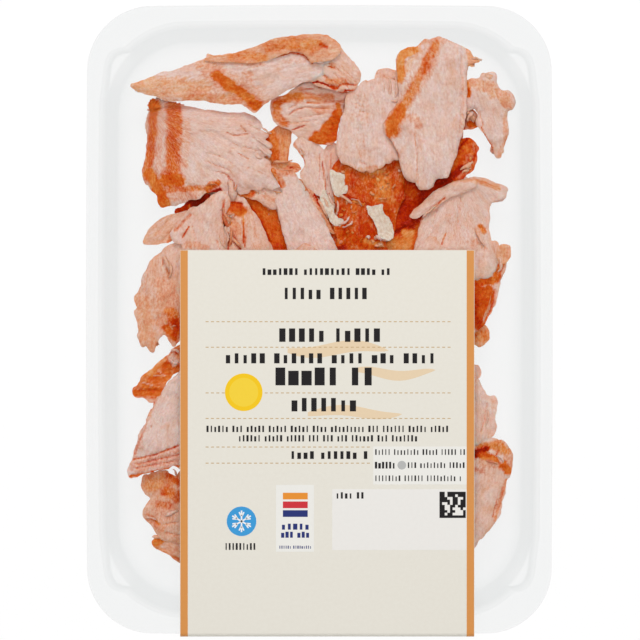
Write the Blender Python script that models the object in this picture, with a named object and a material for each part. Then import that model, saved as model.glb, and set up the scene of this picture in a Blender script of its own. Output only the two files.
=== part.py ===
"""A sealed clear tray of honey roast smoked salmon flakes, with its lidding film and wrap-over label.

Sizes are in metres unless a line says otherwise. The pack rests on the label's back panel at z = 0. Its
long side lies along Y, its mouth faces +Z, and the label folds over the rim of the end at -Y.
"""

import math
import random

import bmesh
import bpy
from mathutils import Vector

MM = 0.001

# Sheet thicknesses, and the small gap kept between pieces that touch
LABEL_THICKNESS = 0.4 * MM
FILM_THICKNESS = 0.2 * MM
WALL = 0.6 * MM
GAP = 0.3 * MM

# Tray: outline of the rim and of the mouth inside its flange, as half width, half length and corner radius
RIM = (69.25 * MM, 93.5 * MM, 19.5 * MM)
MOUTH = (64.35 * MM, 87.6 * MM, 24.7 * MM)
SIDE_BOW = 0.3 * MM
TRAY_HEIGHT = 26.0 * MM
DRAFT = math.radians(8.6)
BASE_FILLET = 7.0 * MM
MOUTH_EDGE = 0.8 * MM
CORNER_STEPS = 9
SIDE_STEPS = 4
FILLET_STEPS = 4

# Stacking lug at each corner: a crescent pocket let into the wall just below the flange
LUG_REACH = 2.4 * MM
LUG_DEPTH = 5.0 * MM
LUG_LEDGE = 0.6 * MM
LUG_START = math.radians(8)
LUG_END = math.radians(45)
LUG_SKEW = 2.2

# Label: a band folded over one end of the pack
LABEL_WIDTH = 87.6 * MM
LABEL_CENTRE_X = 2.35 * MM
LABEL_FRONT_Y = 20.7 * MM
LABEL_BACK_Y = 40.0 * MM
RIM_BEND = 1.0 * MM
BEND_STEPS = 6

# Heights of the tray, of the film on its flange and of the label over the film
BASE_UNDER = LABEL_THICKNESS + GAP
BASE_TOP = BASE_UNDER + WALL
FLANGE_TOP = BASE_UNDER + TRAY_HEIGHT
FILM_UNDER = FLANGE_TOP + GAP
LABEL_UNDER = FILM_UNDER + FILM_THICKNESS + GAP
CAVITY_DEPTH = FLANGE_TOP - BASE_TOP
FILLET_INSET = BASE_FILLET / math.cos(DRAFT) + (CAVITY_DEPTH - BASE_FILLET) * math.tan(DRAFT)
FILLET_CENTRE = BASE_TOP + BASE_FILLET

# The label stands proud of the rim at one end, so the tray sits this far along Y from the pack's middle
TRAY_SHIFT = 0.5 * (GAP + LABEL_THICKNESS)

# Salmon: the room it keeps to the tray, and how square a flake's outline and its section's edges are
SALMON_CLEARANCE = 0.5 * MM
OUTLINE_POWER = 7.0
EDGE_POWER = 0.3
FACE_POWER = 0.4
SMALL_FLAKE = 13.0 * MM

# One row for each flake, in millimetres from the tray's middle. A flake is a slab along a spine from its tail
# to its head. Its half widths to the left and right of the spine are given at five even stations. Then come
# the height of its underside over the tray's base, its thickness, how far the spine bows to the left, how
# much the head stands over the tail, the left edge over the right, and the middle over both ends.
FLAKES = (
    ("wedge", (-56.7, 71.0), (3.2, 78.2), (0.5, 4.6, 7.2, 8.6, 4.5), (0.8, 5.0, 7.2, 9.2, 5.0),
     8.0, 6.5, -1.8, 3.0, 1.0, 1.0),
    ("wedge_rim", (-34.4, 78.2), (5.0, 80.2), (0.8, 1.9, 2.0, 2.2, 2.4), (0.8, 1.9, 2.0, 2.2, 2.0),
     13.0, 4.5, 3.0, 2.0, 0.0, 0.0),
    ("wedge_tip", (-22.5, 70.0), (-19.2, 62.6), (2.6, 2.6, 2.4, 2.0, 0.7), (2.6, 2.6, 2.4, 2.0, 0.7),
     7.5, 4.5, 0.0, 0.0, 0.0, 0.0),
    ("wedge_end", (2.6, 77.6), (11.6, 72.8), (2.2, 2.8, 3.2, 3.2, 2.2), (2.6, 3.2, 3.4, 3.0, 2.2),
     8.5, 6.0, 0.0, 0.0, 0.0, 0.5),
    ("left_chunk", (-53.2, 52.0), (-16.0, 50.0), (11.5, 14.4, 14.2, 12.8, 9.0), (9.5, 11.5, 11.5, 11.0, 9.0),
     1.0, 9.0, 0.0, -1.0, 0.0, 1.5),
    ("left_rind", (-51.0, 67.0), (-50.8, 35.2), (3.4, 4.6, 4.8, 5.0, 2.4), (0.8, 2.0, 2.4, 2.6, 1.2),
     1.5, 8.0, -1.5, 0.0, 0.0, 0.0),
    ("chunk_foot", (-27.0, 45.0), (-12.6, 40.4), (4.0, 5.0, 4.6, 3.4, 1.0), (4.0, 4.4, 4.0, 2.6, 1.0),
     1.0, 7.5, 0.0, -1.0, 0.0, 0.0),
    ("crescent", (-13.4, 63.2), (7.7, 65.0), (3.0, 6.5, 8.5, 7.5, 4.5), (2.1, 5.9, 9.4, 10.2, 3.5),
     2.0, 8.0, 0.0, 0.0, 1.5, 0.5),
    ("glazed_bit", (-12.8, 58.3), (-12.1, 48.1), (3.5, 4.2, 4.2, 3.8, 3.0), (3.5, 4.8, 5.0, 4.5, 3.5),
     1.0, 5.5, 0.0, 0.0, 0.0, 0.5),
    ("tan_strip", (-17.5, 49.4), (-6.7, 46.6), (1.2, 1.7, 1.7, 1.6, 1.0), (1.2, 1.7, 1.7, 1.6, 1.0),
     3.0, 4.0, 0.0, 0.0, 0.0, 0.0),
    ("pale_strip", (-6.1, 55.3), (-0.7, 38.5), (2.0, 3.3, 3.6, 3.0, 1.5), (1.8, 3.2, 3.6, 4.2, 3.5),
     3.5, 5.5, 0.0, 0.0, 0.0, 0.8),
    ("thin_strip", (3.5, 53.5), (3.5, 38.5), (1.6, 2.0, 2.0, 1.8, 1.4), (0.9, 1.4, 1.4, 1.3, 1.0),
     2.0, 5.5, 0.0, 0.0, 0.0, 0.0),
    ("centre_block", (14.0, 72.5), (14.0, 45.4), (8.8, 7.5, 5.6, 7.8, 4.2), (5.0, 6.5, 7.9, 8.5, 4.8),
     6.0, 8.0, 0.0, -1.5, 0.0, 1.0),
    ("tufts", (16.8, 75.0), (23.7, 68.6), (1.2, 2.4, 2.6, 2.4, 1.5), (2.0, 2.8, 3.0, 2.6, 2.0),
     7.0, 7.0, 0.0, 0.0, 0.0, 0.0),
    ("top_slab", (35.1, 84.2), (32.1, 39.7), (7.0, 9.0, 9.9, 8.8, 3.4), (5.0, 10.3, 12.3, 9.9, 3.4),
     9.0, 7.5, 0.0, -2.0, 0.0, 2.0),
    ("slab_curl", (23.8, 75.5), (32.7, 83.6), (0.9, 1.7, 2.0, 1.9, 1.0), (1.2, 2.0, 2.4, 2.2, 1.4),
     13.0, 4.5, 0.6, 0.0, 0.0, 0.0),
    ("slab_tuft", (40.5, 80.6), (48.7, 77.6), (1.6, 2.0, 1.8, 1.2, 0.5), (1.6, 2.0, 1.8, 1.2, 0.5),
     9.5, 4.5, 0.0, 0.0, 0.0, 0.0),
    ("arch_flake", (48.7, 73.8), (54.7, 48.7), (4.8, 7.8, 5.3, 3.6, 0.8), (4.6, 6.2, 4.5, 2.4, 0.8),
     6.5, 6.0, 0.0, -3.0, 0.0, 1.5),
    ("arch_under", (45.8, 70.0), (46.4, 57.7), (1.8, 2.4, 2.5, 2.2, 1.4), (2.0, 3.0, 3.4, 3.0, 2.0),
     3.0, 5.0, 0.0, 0.0, 0.0, 0.0),
    ("glazed_knob", (45.4, 55.8), (42.1, 43.6), (2.0, 3.4, 3.8, 3.3, 1.5), (2.0, 3.0, 3.4, 3.2, 2.0),
     4.0, 7.0, 0.0, 0.0, 0.0, 0.5),
    ("dark_slope", (42.8, 46.6), (22.8, 25.2), (3.0, 5.0, 6.0, 6.0, 4.0), (4.5, 8.0, 9.5, 8.0, 4.0),
     1.0, 7.0, 0.0, -1.0, 0.0, 0.5),
    ("rough_chunk", (15.6, 49.0), (12.2, 18.0), (8.5, 8.5, 7.0, 7.0, 6.0), (8.0, 7.0, 7.5, 7.0, 6.0),
     1.0, 8.5, 0.0, -1.0, 0.0, 1.0),
    ("curd_long", (16.3, 35.3), (20.7, 24.7), (1.2, 1.8, 1.7, 2.0, 1.2), (0.9, 1.5, 1.6, 1.8, 1.2),
     8.5, 3.0, 0.0, 0.0, 0.0, 0.0),
    ("curd_short", (5.0, 45.4), (6.8, 38.6), (1.2, 1.8, 1.9, 1.9, 1.3), (1.2, 1.7, 1.8, 1.6, 1.2),
     6.5, 3.5, 0.0, 0.0, 0.0, 0.0),
    ("pale_shred", (2.6, 39.5), (5.8, 28.5), (1.0, 1.6, 1.8, 1.7, 1.2), (1.0, 1.6, 1.8, 1.7, 1.2),
     6.0, 4.0, 0.4, 0.0, 0.0, 0.0),
    ("middle_slab", (-8.8, 42.7), (-1.3, 15.0), (2.5, 5.0, 7.8, 9.0, 7.0), (3.0, 5.5, 6.6, 7.0, 5.0),
     1.5, 8.0, 0.0, -1.0, 0.0, 1.0),
    ("orange_edge", (-6.2, 43.6), (1.6, 30.5), (1.0, 1.6, 1.7, 1.6, 1.0), (1.0, 1.2, 1.2, 1.2, 1.0),
     4.5, 4.5, 0.0, 0.0, 0.0, 0.0),
    ("folded_flake", (-23.0, 38.6), (-20.3, 16.0), (2.8, 4.4, 6.0, 7.0, 6.0), (3.5, 4.5, 5.0, 5.0, 4.0),
     3.5, 6.5, 0.0, -1.0, 0.0, 1.5),
    ("dark_fold", (-17.3, 38.5), (-11.2, 20.8), (3.5, 4.2, 3.8, 3.4, 2.6), (3.0, 3.4, 3.4, 3.2, 2.5),
     1.0, 5.5, 0.0, 0.0, 0.0, 0.0),
    ("wing", (-52.4, 24.2), (-37.1, 31.6), (1.5, 3.4, 3.4, 3.2, 2.5), (0.9, 2.2, 3.6, 5.0, 5.0),
     4.0, 5.0, 0.0, 2.0, 0.0, 0.5),
    ("wing_body", (-29.3, 39.4), (-37.1, 12.0), (1.5, 2.5, 4.6, 6.0, 5.0), (1.6, 6.0, 9.5, 9.5, 6.0),
     4.5, 6.5, 0.0, -1.0, 0.0, 1.0),
    ("dark_bit", (-45.6, 33.4), (-33.0, 36.6), (1.8, 2.4, 2.6, 2.4, 1.6), (1.5, 2.2, 2.4, 2.4, 1.6),
     1.5, 5.0, 0.0, 0.0, 0.0, 0.0),
    ("hook", (27.6, 31.2), (56.2, 39.7), (1.1, 1.9, 2.8, 3.6, 2.4), (1.1, 2.2, 3.2, 4.6, 2.8),
     7.0, 4.5, 3.6, 0.0, 0.0, 0.5),
    ("right_flake", (43.0, 41.5), (40.9, 12.0), (8.0, 11.0, 9.4, 12.0, 9.0), (4.0, 8.4, 11.6, 12.6, 9.0),
     2.0, 8.0, 0.0, -1.0, 0.0, 1.0),
    ("right_mid", (51.4, 22.8), (45.4, -6.6), (4.2, 6.6, 5.6, 3.9, 2.4), (6.0, 8.0, 9.0, 8.0, 5.0),
     1.5, 7.5, 0.0, 0.0, 0.0, 0.8),
    ("right_knob", (56.2, 23.2), (56.2, 16.4), (1.4, 1.9, 1.8, 1.4, 0.9), (1.5, 2.4, 2.6, 2.4, 1.6),
     4.5, 4.5, 0.0, 0.0, 0.0, 0.0),
    ("right_tab", (48.2, -2.0), (49.0, -8.4), (1.8, 2.6, 2.6, 1.8, 0.6), (2.2, 3.0, 3.0, 2.4, 1.2),
     2.0, 4.5, 0.0, 0.0, 0.0, 0.0),
    ("right_low", (47.0, -13.9), (49.0, -37.6), (1.6, 1.0, 5.2, 4.8, 2.2), (5.0, 7.0, 8.0, 8.0, 6.0),
     2.5, 6.0, 0.0, 0.0, 0.0, 0.8),
    ("right_end", (54.0, -36.3), (45.4, -69.8), (2.6, 6.4, 6.1, 4.7, 0.9), (6.0, 9.0, 10.0, 9.0, 6.0),
     1.5, 8.5, 0.0, 0.0, 0.0, 1.0),
    ("left_ragged", (-48.0, 22.2), (-51.6, -9.6), (3.0, 8.0, 10.0, 7.0, 1.2), (1.5, 4.2, 5.9, 4.3, 1.5),
     1.5, 7.0, 0.0, 0.0, 0.0, 1.0),
    ("left_spur", (-44.4, 5.9), (-45.8, -8.6), (4.0, 4.5, 4.5, 4.0, 3.0), (2.5, 3.0, 3.2, 2.0, 0.8),
     2.0, 5.5, 0.0, 0.0, 0.0, 0.0),
    ("glazed_fin", (-56.9, -22.9), (-40.0, -9.1), (0.9, 2.4, 2.6, 2.6, 3.0), (1.0, 5.0, 8.0, 8.0, 6.0),
     2.5, 5.5, 0.0, 1.0, 0.0, 0.5),
    ("left_slab", (-39.0, -14.0), (-51.0, -46.4), (5.0, 8.0, 9.0, 9.0, 8.0), (3.0, 7.4, 7.3, 7.4, 7.8),
     3.0, 8.5, 0.0, -1.5, 0.0, 1.0),
    ("left_low", (-45.0, -46.2), (-44.4, -67.4), (5.0, 7.0, 8.0, 8.0, 6.0), (8.2, 8.7, 7.5, 7.9, 4.5),
     1.5, 7.0, 0.0, 0.0, 0.0, 1.0),
    ("left_end", (-51.3, -67.9), (-38.4, -74.0), (1.2, 3.5, 4.5, 5.0, 4.0), (1.2, 1.5, 1.8, 2.0, 2.0),
     1.5, 6.0, 0.0, 0.0, 0.0, 0.0),
    ("bed_wedge", (-41.0, 73.6), (1.0, 77.0), (2.5, 4.0, 4.8, 5.0, 4.0), (2.5, 4.0, 4.8, 5.0, 4.0),
     0.3, 8.6, -1.0, 0.0, 0.0, 0.0),
    ("bed_slab", (33.5, 77.0), (37.0, 45.0), (6.0, 8.0, 8.5, 7.0, 5.0), (5.0, 8.0, 9.0, 8.0, 6.0),
     0.3, 9.8, 0.0, 0.0, 0.0, 0.0),
    ("bed_centre", (2.0, 66.0), (27.0, 60.0), (4.0, 5.0, 5.5, 5.5, 4.0), (4.0, 5.0, 5.5, 5.5, 4.0),
     0.3, 7.2, 0.0, 0.0, 0.0, 0.0),
    ("bed_right", (-9.0, 29.0), (49.0, 29.0), (8.0, 9.0, 10.0, 12.0, 10.0), (9.0, 9.0, 9.0, 9.0, 9.0),
     0.3, 6.2, 0.0, 0.0, 0.0, 0.0),
    ("bed_left", (-34.0, 22.0), (-8.0, 32.0), (5.0, 8.0, 8.0, 7.0, 5.0), (8.0, 8.0, 8.0, 8.0, 8.0),
     0.3, 5.2, 0.0, 0.0, 0.0, 0.0),
)

# The salmon that the label hides: flakes on a loose grid, in two layers, from a seeded draw
HIDDEN_NAMES = ("hidden", "bed")
HIDDEN_SEED = 11
HIDDEN_COLUMNS = (-27.0, -9.0, 9.0, 27.0)
HIDDEN_ROWS = (8.0, -10.0, -28.0, -46.0, -62.0)
HIDDEN_LOW = (0.3, 4.6)
HIDDEN_LENGTH = (26.0, 36.0)
HIDDEN_HALF_WIDTH = (7.5, 10.0)
HIDDEN_WIDTHS = (0.5, 1.0)
HIDDEN_THICK = (7.0, 9.0)
HIDDEN_DRIFT = 2.0


def clear_scene():
    for old in list(bpy.data.objects):
        bpy.data.objects.remove(old, do_unlink=True)


def finish_material(name, colour, roughness, alpha=1.0):
    """Principled finish, colour as linear red, green and blue."""
    material = bpy.data.materials.new(name)
    material.use_nodes = True
    shader = material.node_tree.nodes["Principled BSDF"]
    shader.inputs["Base Color"].default_value = (*colour, 1.0)
    shader.inputs["Roughness"].default_value = roughness
    shader.inputs["Metallic"].default_value = 0.0
    shader.inputs["Alpha"].default_value = alpha
    return material


def add_piece(name, bm, material, parent, sharp_degrees=35.0):
    """Turns a bmesh into a smooth-shaded object under its parent."""
    bmesh.ops.recalc_face_normals(bm, faces=bm.faces)
    mesh = bpy.data.meshes.new(name)
    bm.to_mesh(mesh)
    bm.free()
    mesh.shade_smooth()
    mesh.set_sharp_from_angle(angle=math.radians(sharp_degrees))
    mesh.materials.append(material)
    piece = bpy.data.objects.new(name, mesh)
    piece.parent = parent
    bpy.context.scene.collection.objects.link(piece)
    return piece


def lug_bulge(angle):
    """Share of the lug's reach at an angle round a corner, counted from the long side's end."""
    share = (angle - LUG_START) / (LUG_END - LUG_START)
    if not 0.0 < share < 1.0:
        return 0.0
    return math.sin(math.pi * share**LUG_SKEW)


def ring_point(slot, outline, lug):
    """Point number slot round a rectangle with round corners, bowed sides and a lug's bulge at each corner."""
    half_x, half_y, corner = outline
    quarter, step = divmod(slot, CORNER_STEPS + SIDE_STEPS)
    signs = ((1, 1), (-1, 1), (-1, -1), (1, -1))

    def on_arc(quarter, fraction):
        side_x, side_y = signs[quarter % 4]
        angle = (quarter % 4 + fraction) * math.pi / 2
        from_side = (fraction if quarter % 2 == 0 else 1 - fraction) * math.pi / 2
        reach = corner + lug * lug_bulge(from_side)
        centre = Vector((side_x * (half_x - corner), side_y * (half_y - corner)))
        return centre + reach * Vector((math.cos(angle), math.sin(angle)))

    if step <= CORNER_STEPS:
        return on_arc(quarter, step / CORNER_STEPS)
    along = (step - CORNER_STEPS) / SIDE_STEPS
    start, end = on_arc(quarter, 1.0), on_arc(quarter + 1, 0.0)
    outward = Vector((math.cos((quarter + 1) * math.pi / 2), math.sin((quarter + 1) * math.pi / 2)))
    return start.lerp(end, along) + outward * SIDE_BOW * (1 - (2 * along - 1) ** 2)


def loft(levels):
    """Closed bmesh through levels of (outline, height, lug), with a flat face at its first and last level."""
    bm = bmesh.new()
    slot = bm.verts.layers.int.new("slot")
    count = 4 * (CORNER_STEPS + SIDE_STEPS)

    def place(vert, level):
        outline, height, lug = level
        vert.co = (*ring_point(vert[slot], outline, lug), height)

    first = bmesh.ops.create_circle(bm, segments=count, radius=1.0, cap_ends=True)["verts"]
    for vert in first:
        vert[slot] = round(math.atan2(vert.co.y, vert.co.x) / (2 * math.pi) * count) % count
    for vert in first:
        place(vert, levels[0])
    edges = bm.edges[:]
    for level in levels[1:]:
        made = bmesh.ops.extrude_edge_only(bm, edges=edges)["geom"]
        fresh = {item for item in made if isinstance(item, bmesh.types.BMVert)}
        for vert in fresh:
            place(vert, level)
        edges = [item for item in made if isinstance(item, bmesh.types.BMEdge) and set(item.verts) <= fresh]
    bmesh.ops.contextual_create(bm, geom=edges)
    return bm


def grown(outline, by):
    """The outline moved outwards by a distance."""
    half_x, half_y, corner = outline
    return (half_x + by, half_y + by, corner + by)


def wall_levels(wall, lower):
    """Levels of the cavity's surface from its base to its mouth; wall and lower move it out and down."""
    levels = []
    for step in range(FILLET_STEPS + 1):
        turn = math.pi / 2 + (DRAFT - math.pi / 2) * step / FILLET_STEPS
        reach = (BASE_FILLET + wall) * math.cos(turn) - FILLET_INSET
        height = FILLET_CENTRE - (BASE_FILLET + wall) * math.sin(turn)
        levels.append((grown(MOUTH, reach), height, 0.0))
    for drop, lug in ((LUG_DEPTH + LUG_LEDGE, 0.0), (LUG_DEPTH, LUG_REACH), (MOUTH_EDGE, LUG_REACH)):
        height = FLANGE_TOP - drop - (lower if drop > MOUTH_EDGE else 0.0)
        slope = (FLANGE_TOP - height) * math.tan(DRAFT)
        levels.append((grown(MOUTH, wall / math.cos(DRAFT) - slope), height, lug))
    return levels


def make_tray(material, parent):
    inside = wall_levels(0.0, 0.0)
    outside = wall_levels(WALL, WALL)
    flange = [
        (grown(MOUTH, MOUTH_EDGE), FLANGE_TOP, LUG_REACH),
        (RIM, FLANGE_TOP, 0.0),
        (RIM, FLANGE_TOP - WALL, 0.0),
        (grown(MOUTH, MOUTH_EDGE + WALL), FLANGE_TOP - WALL, LUG_REACH),
    ]
    return add_piece("tray", loft(inside + flange + outside[-2::-1]), material, parent)


def make_film(material, parent):
    outline = grown(RIM, -GAP)
    levels = [(outline, FILM_UNDER, 0.0), (outline, FILM_UNDER + FILM_THICKNESS, 0.0)]
    return add_piece("lid_film", loft(levels), material, parent)


def label_profile(outside):
    """The label's section in Y and Z, from its front edge to its back one, a distance outside its inner face."""
    rim = Vector((-RIM[1] - SIDE_BOW - GAP + RIM_BEND, LABEL_UNDER - RIM_BEND))
    base = Vector((-MOUTH[1] - SIDE_BOW + FILLET_INSET, FILLET_CENTRE))
    base_bend = FILLET_CENTRE - LABEL_THICKNESS
    along = base - rim
    lean = math.atan2(along.y, along.x) - math.acos((RIM_BEND - base_bend) / along.length)
    slanted = lean % (2 * math.pi)
    points = [Vector((LABEL_FRONT_Y, LABEL_UNDER + outside))]
    for centre, bend, start, end in (
        (rim, RIM_BEND, math.pi / 2, slanted),
        (base, base_bend, slanted, 1.5 * math.pi),
    ):
        for step in range(BEND_STEPS + 1):
            turn = start + (end - start) * step / BEND_STEPS
            points.append(centre + (bend + outside) * Vector((math.cos(turn), math.sin(turn))))
    points.append(Vector((LABEL_BACK_Y, LABEL_THICKNESS - outside)))
    return points


def make_label(material, parent):
    bm = bmesh.new()
    section = label_profile(0.0) + label_profile(LABEL_THICKNESS)[::-1]
    left = LABEL_CENTRE_X - 0.5 * LABEL_WIDTH
    face = bm.faces.new([bm.verts.new((left, *point)) for point in section])
    swept = bmesh.ops.extrude_face_region(bm, geom=[face])["geom"]
    moved = [item for item in swept if isinstance(item, bmesh.types.BMVert)]
    bmesh.ops.translate(bm, verts=moved, vec=(LABEL_WIDTH, 0.0, 0.0))
    return add_piece("label", bm, material, parent)


def cavity_inset(height):
    """How far the cavity's wall stands in from the mouth at a height over the tray's base."""
    if height >= BASE_FILLET * (1 - math.sin(DRAFT)):
        return (CAVITY_DEPTH - height) * math.tan(DRAFT)
    drop = BASE_FILLET - max(height, 0.0)
    return FILLET_INSET - math.sqrt(BASE_FILLET**2 - drop**2)


def kept_inside(point):
    """The point, moved in where it would stand nearer to the tray than the salmon's clearance."""
    height = max(point.z, BASE_TOP + GAP)
    half_x, half_y, corner = grown(MOUTH, -cavity_inset(height - BASE_TOP) - SALMON_CLEARANCE)
    x, y = point.x, point.y
    past = Vector((max(abs(x) - half_x + corner, 0.0), max(abs(y) - half_y + corner, 0.0)))
    if past.length > corner:
        moved = past * (1 - corner / past.length)
        x -= math.copysign(moved.x, x)
        y -= math.copysign(moved.y, y)
    return Vector((x, y, height))


def width_at(widths, t):
    """Half width at the fraction t of a spine, on a smooth curve through its five stations."""
    place = min(max(t, 0.0), 1.0) * (len(widths) - 1)
    i = min(int(place), len(widths) - 2)
    f = place - i
    a, d = widths[max(i - 1, 0)], widths[min(i + 2, len(widths) - 1)]
    b, c = widths[i], widths[i + 1]
    return b + 0.5 * f * (c - a + f * (2 * a - 5 * b + 4 * c - d + f * (3 * (b - c) + d - a)))


def signed_power(value, exponent):
    return math.copysign(abs(value) ** exponent, value)


def flake_bmesh(row):
    """One flake as a closed slab, shaped from a sphere: its turns follow the outline, its rings the section."""
    tail, head = Vector(row[1]) * MM, Vector(row[2]) * MM
    left, right = row[3], row[4]
    low, thick, bow, pitch, roll, arch = (value * MM for value in row[5:])
    along = head - tail
    across = Vector((-along.y, along.x)).normalized()
    plain = along.length < SMALL_FLAKE or row[0].startswith(HIDDEN_NAMES)
    around = 12 if plain else 16
    rings = 4 if plain else 6
    bm = bmesh.new()
    bmesh.ops.create_uvsphere(bm, u_segments=around, v_segments=rings, radius=1.0)
    for vert in bm.verts:
        flat = math.hypot(vert.co.x, vert.co.y)
        rise = signed_power(vert.co.z, FACE_POWER)
        reach = flat**EDGE_POWER if flat > 1e-6 else 0.0
        lengthwise = vert.co.x / max(flat, 1e-6)
        sideways = max(1 - abs(lengthwise) ** OUTLINE_POWER, 0.0) ** (1 / OUTLINE_POWER)
        t = 0.5 - 0.5 * reach * lengthwise
        side = reach * math.copysign(sideways, vert.co.y)
        tangent = along + across * bow * 4 * (1 - 2 * t)
        normal = Vector((-tangent.y, tangent.x)).normalized()
        width = width_at(left if side > 0 else right, t) * MM
        place = tail + along * t + across * bow * 4 * t * (1 - t) + normal * side * width
        height = BASE_TOP + low + 0.5 * thick * (1 + rise)
        height += pitch * (t - 0.5) + 0.5 * roll * side + arch * (0.5 - (2 * t - 1) ** 2)
        vert.co = kept_inside(Vector((place.x, place.y, height)))
    bmesh.ops.recalc_face_normals(bm, faces=bm.faces)
    return bm


def hidden_flakes():
    """Rows of the same kind as FLAKES for the salmon under the label."""
    draw = random.Random(HIDDEN_SEED)
    rows = []
    for i, y in enumerate(HIDDEN_ROWS):
        for j, x in enumerate(HIDDEN_COLUMNS):
            turn = draw.uniform(-math.pi / 3, math.pi / 3)
            half = 0.5 * draw.uniform(*HIDDEN_LENGTH)
            width = draw.uniform(*HIDDEN_HALF_WIDTH)
            thick = draw.uniform(*HIDDEN_THICK)
            x_mid = x + draw.uniform(-HIDDEN_DRIFT, HIDDEN_DRIFT)
            y_mid = y + draw.uniform(-HIDDEN_DRIFT, HIDDEN_DRIFT)
            reach = Vector((math.cos(turn), math.sin(turn))) * half
            middle = Vector((x_mid, y_mid))
            left = [width * draw.uniform(*HIDDEN_WIDTHS) for station in range(5)]
            right = [width * draw.uniform(*HIDDEN_WIDTHS) for station in range(5)]
            low = HIDDEN_LOW[(i + j) % len(HIDDEN_LOW)]
            tail, head = tuple(middle - reach), tuple(middle + reach)
            rows.append((f"hidden_{i}_{j}", tail, head, left, right, low, thick, 1.0, 0.5, 0.0, 0.8))
    return rows


def signed_volume(faces):
    total = 0.0
    for face in faces:
        first = face.verts[0].co
        for a, b in zip(face.verts[1:], face.verts[2:]):
            total += first.dot(a.co.cross(b.co)) / 6
    return total


def keep_largest_body(bm):
    """Fills hollows that the union sealed and drops loose scraps, by keeping only the largest shell."""
    bm.faces.ensure_lookup_table()
    seen, shells = set(), []
    for start in bm.faces:
        if start in seen:
            continue
        seen.add(start)
        shell, open_faces = [], [start]
        while open_faces:
            face = open_faces.pop()
            shell.append(face)
            for edge in face.edges:
                for other in edge.link_faces:
                    if other not in seen:
                        seen.add(other)
                        open_faces.append(other)
        shells.append(shell)
    shells.sort(key=signed_volume)
    scraps = [face for shell in shells[:-1] for face in shell]
    bmesh.ops.delete(bm, geom=scraps, context="FACES")


def make_salmon(material, parent):
    """All the flakes joined into one heap by a single union."""
    heap = bpy.data.collections.new("flakes")
    bpy.context.scene.collection.children.link(heap)
    rows = list(FLAKES) + hidden_flakes()
    base = None
    for row in rows:
        bm = flake_bmesh(row)
        mesh = bpy.data.meshes.new(row[0])
        bm.to_mesh(mesh)
        bm.free()
        flake = bpy.data.objects.new(row[0], mesh)
        if base is None:
            base = flake
            bpy.context.scene.collection.objects.link(flake)
        else:
            heap.objects.link(flake)
    union = base.modifiers.new("join", "BOOLEAN")
    union.operation = "UNION"
    union.operand_type = "COLLECTION"
    union.collection = heap
    union.solver = "EXACT"
    bpy.context.view_layer.update()
    joined = bpy.data.meshes.new_from_object(base.evaluated_get(bpy.context.evaluated_depsgraph_get()))
    for flake in [base, *heap.objects]:
        bpy.data.objects.remove(flake, do_unlink=True)
    bpy.data.collections.remove(heap)
    bm = bmesh.new()
    bm.from_mesh(joined)
    bpy.data.meshes.remove(joined)
    bmesh.ops.triangulate(bm, faces=bm.faces)
    keep_largest_body(bm)
    return add_piece("salmon_flakes", bm, material, parent, sharp_degrees=50.0)


def main():
    clear_scene()
    pack = bpy.data.objects.new("pack", None)
    pack.location.y = TRAY_SHIFT
    bpy.context.scene.collection.objects.link(pack)
    clear = finish_material("clear tray", (0.92, 0.94, 0.94), 0.08, alpha=0.25)
    film = finish_material("clear film", (0.95, 0.96, 0.96), 0.05, alpha=0.15)
    card = finish_material("cream label", (0.80, 0.76, 0.69), 0.55)
    fish = finish_material("roast salmon", (0.78, 0.42, 0.27), 0.45)
    make_tray(clear, pack)
    make_film(film, pack)
    make_label(card, pack)
    make_salmon(fish, pack)


main()
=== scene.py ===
"""A sealed clear tray of honey roast smoked salmon flakes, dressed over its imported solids."""

import math
import random
from collections import namedtuple

import bmesh
import bpy
import numpy as np
from mathutils import Matrix, Vector


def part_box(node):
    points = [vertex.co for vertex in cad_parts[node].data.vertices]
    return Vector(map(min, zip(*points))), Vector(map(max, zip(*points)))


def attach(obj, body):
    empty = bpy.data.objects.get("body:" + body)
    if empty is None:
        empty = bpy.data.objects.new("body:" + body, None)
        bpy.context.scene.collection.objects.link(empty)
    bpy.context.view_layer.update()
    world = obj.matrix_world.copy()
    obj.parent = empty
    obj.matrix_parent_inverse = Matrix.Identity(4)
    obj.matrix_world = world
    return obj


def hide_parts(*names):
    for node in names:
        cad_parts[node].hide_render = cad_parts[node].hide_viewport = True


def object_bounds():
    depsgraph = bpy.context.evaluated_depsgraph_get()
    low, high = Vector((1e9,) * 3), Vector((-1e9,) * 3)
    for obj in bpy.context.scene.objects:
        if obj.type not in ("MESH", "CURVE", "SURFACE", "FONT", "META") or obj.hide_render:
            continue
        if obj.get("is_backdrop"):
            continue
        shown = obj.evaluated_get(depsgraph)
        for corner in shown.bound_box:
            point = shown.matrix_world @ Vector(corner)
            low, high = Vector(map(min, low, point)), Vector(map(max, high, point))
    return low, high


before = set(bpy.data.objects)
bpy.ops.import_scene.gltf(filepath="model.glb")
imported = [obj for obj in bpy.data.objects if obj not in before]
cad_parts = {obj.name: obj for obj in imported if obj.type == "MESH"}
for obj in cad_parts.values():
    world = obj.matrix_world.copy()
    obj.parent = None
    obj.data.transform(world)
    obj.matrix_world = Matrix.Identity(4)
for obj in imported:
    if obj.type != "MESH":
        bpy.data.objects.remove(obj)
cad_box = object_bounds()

# Tray
# Clear thermoformed plastic with a flat flange, drafted walls and a rounded foot. A crescent lug at each
# corner, just under the flange, keeps stacked trays from jamming.
MM = 0.001
tray_low, tray_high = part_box("tray")
tray_middle_y = (tray_low.y + tray_high.y) / 2
wall = 0.6
base_under = tray_low.z / MM
base_top = base_under + wall
flange_top = tray_high.z / MM
rim_outline = (69.25, 93.5, 19.5)
mouth_outline = (64.35, 87.6, 24.7)
side_bow = 0.3
draft = math.radians(8.6)
foot_radius = 7.0
mouth_edge = 0.8
edge_round = 0.12
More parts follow.
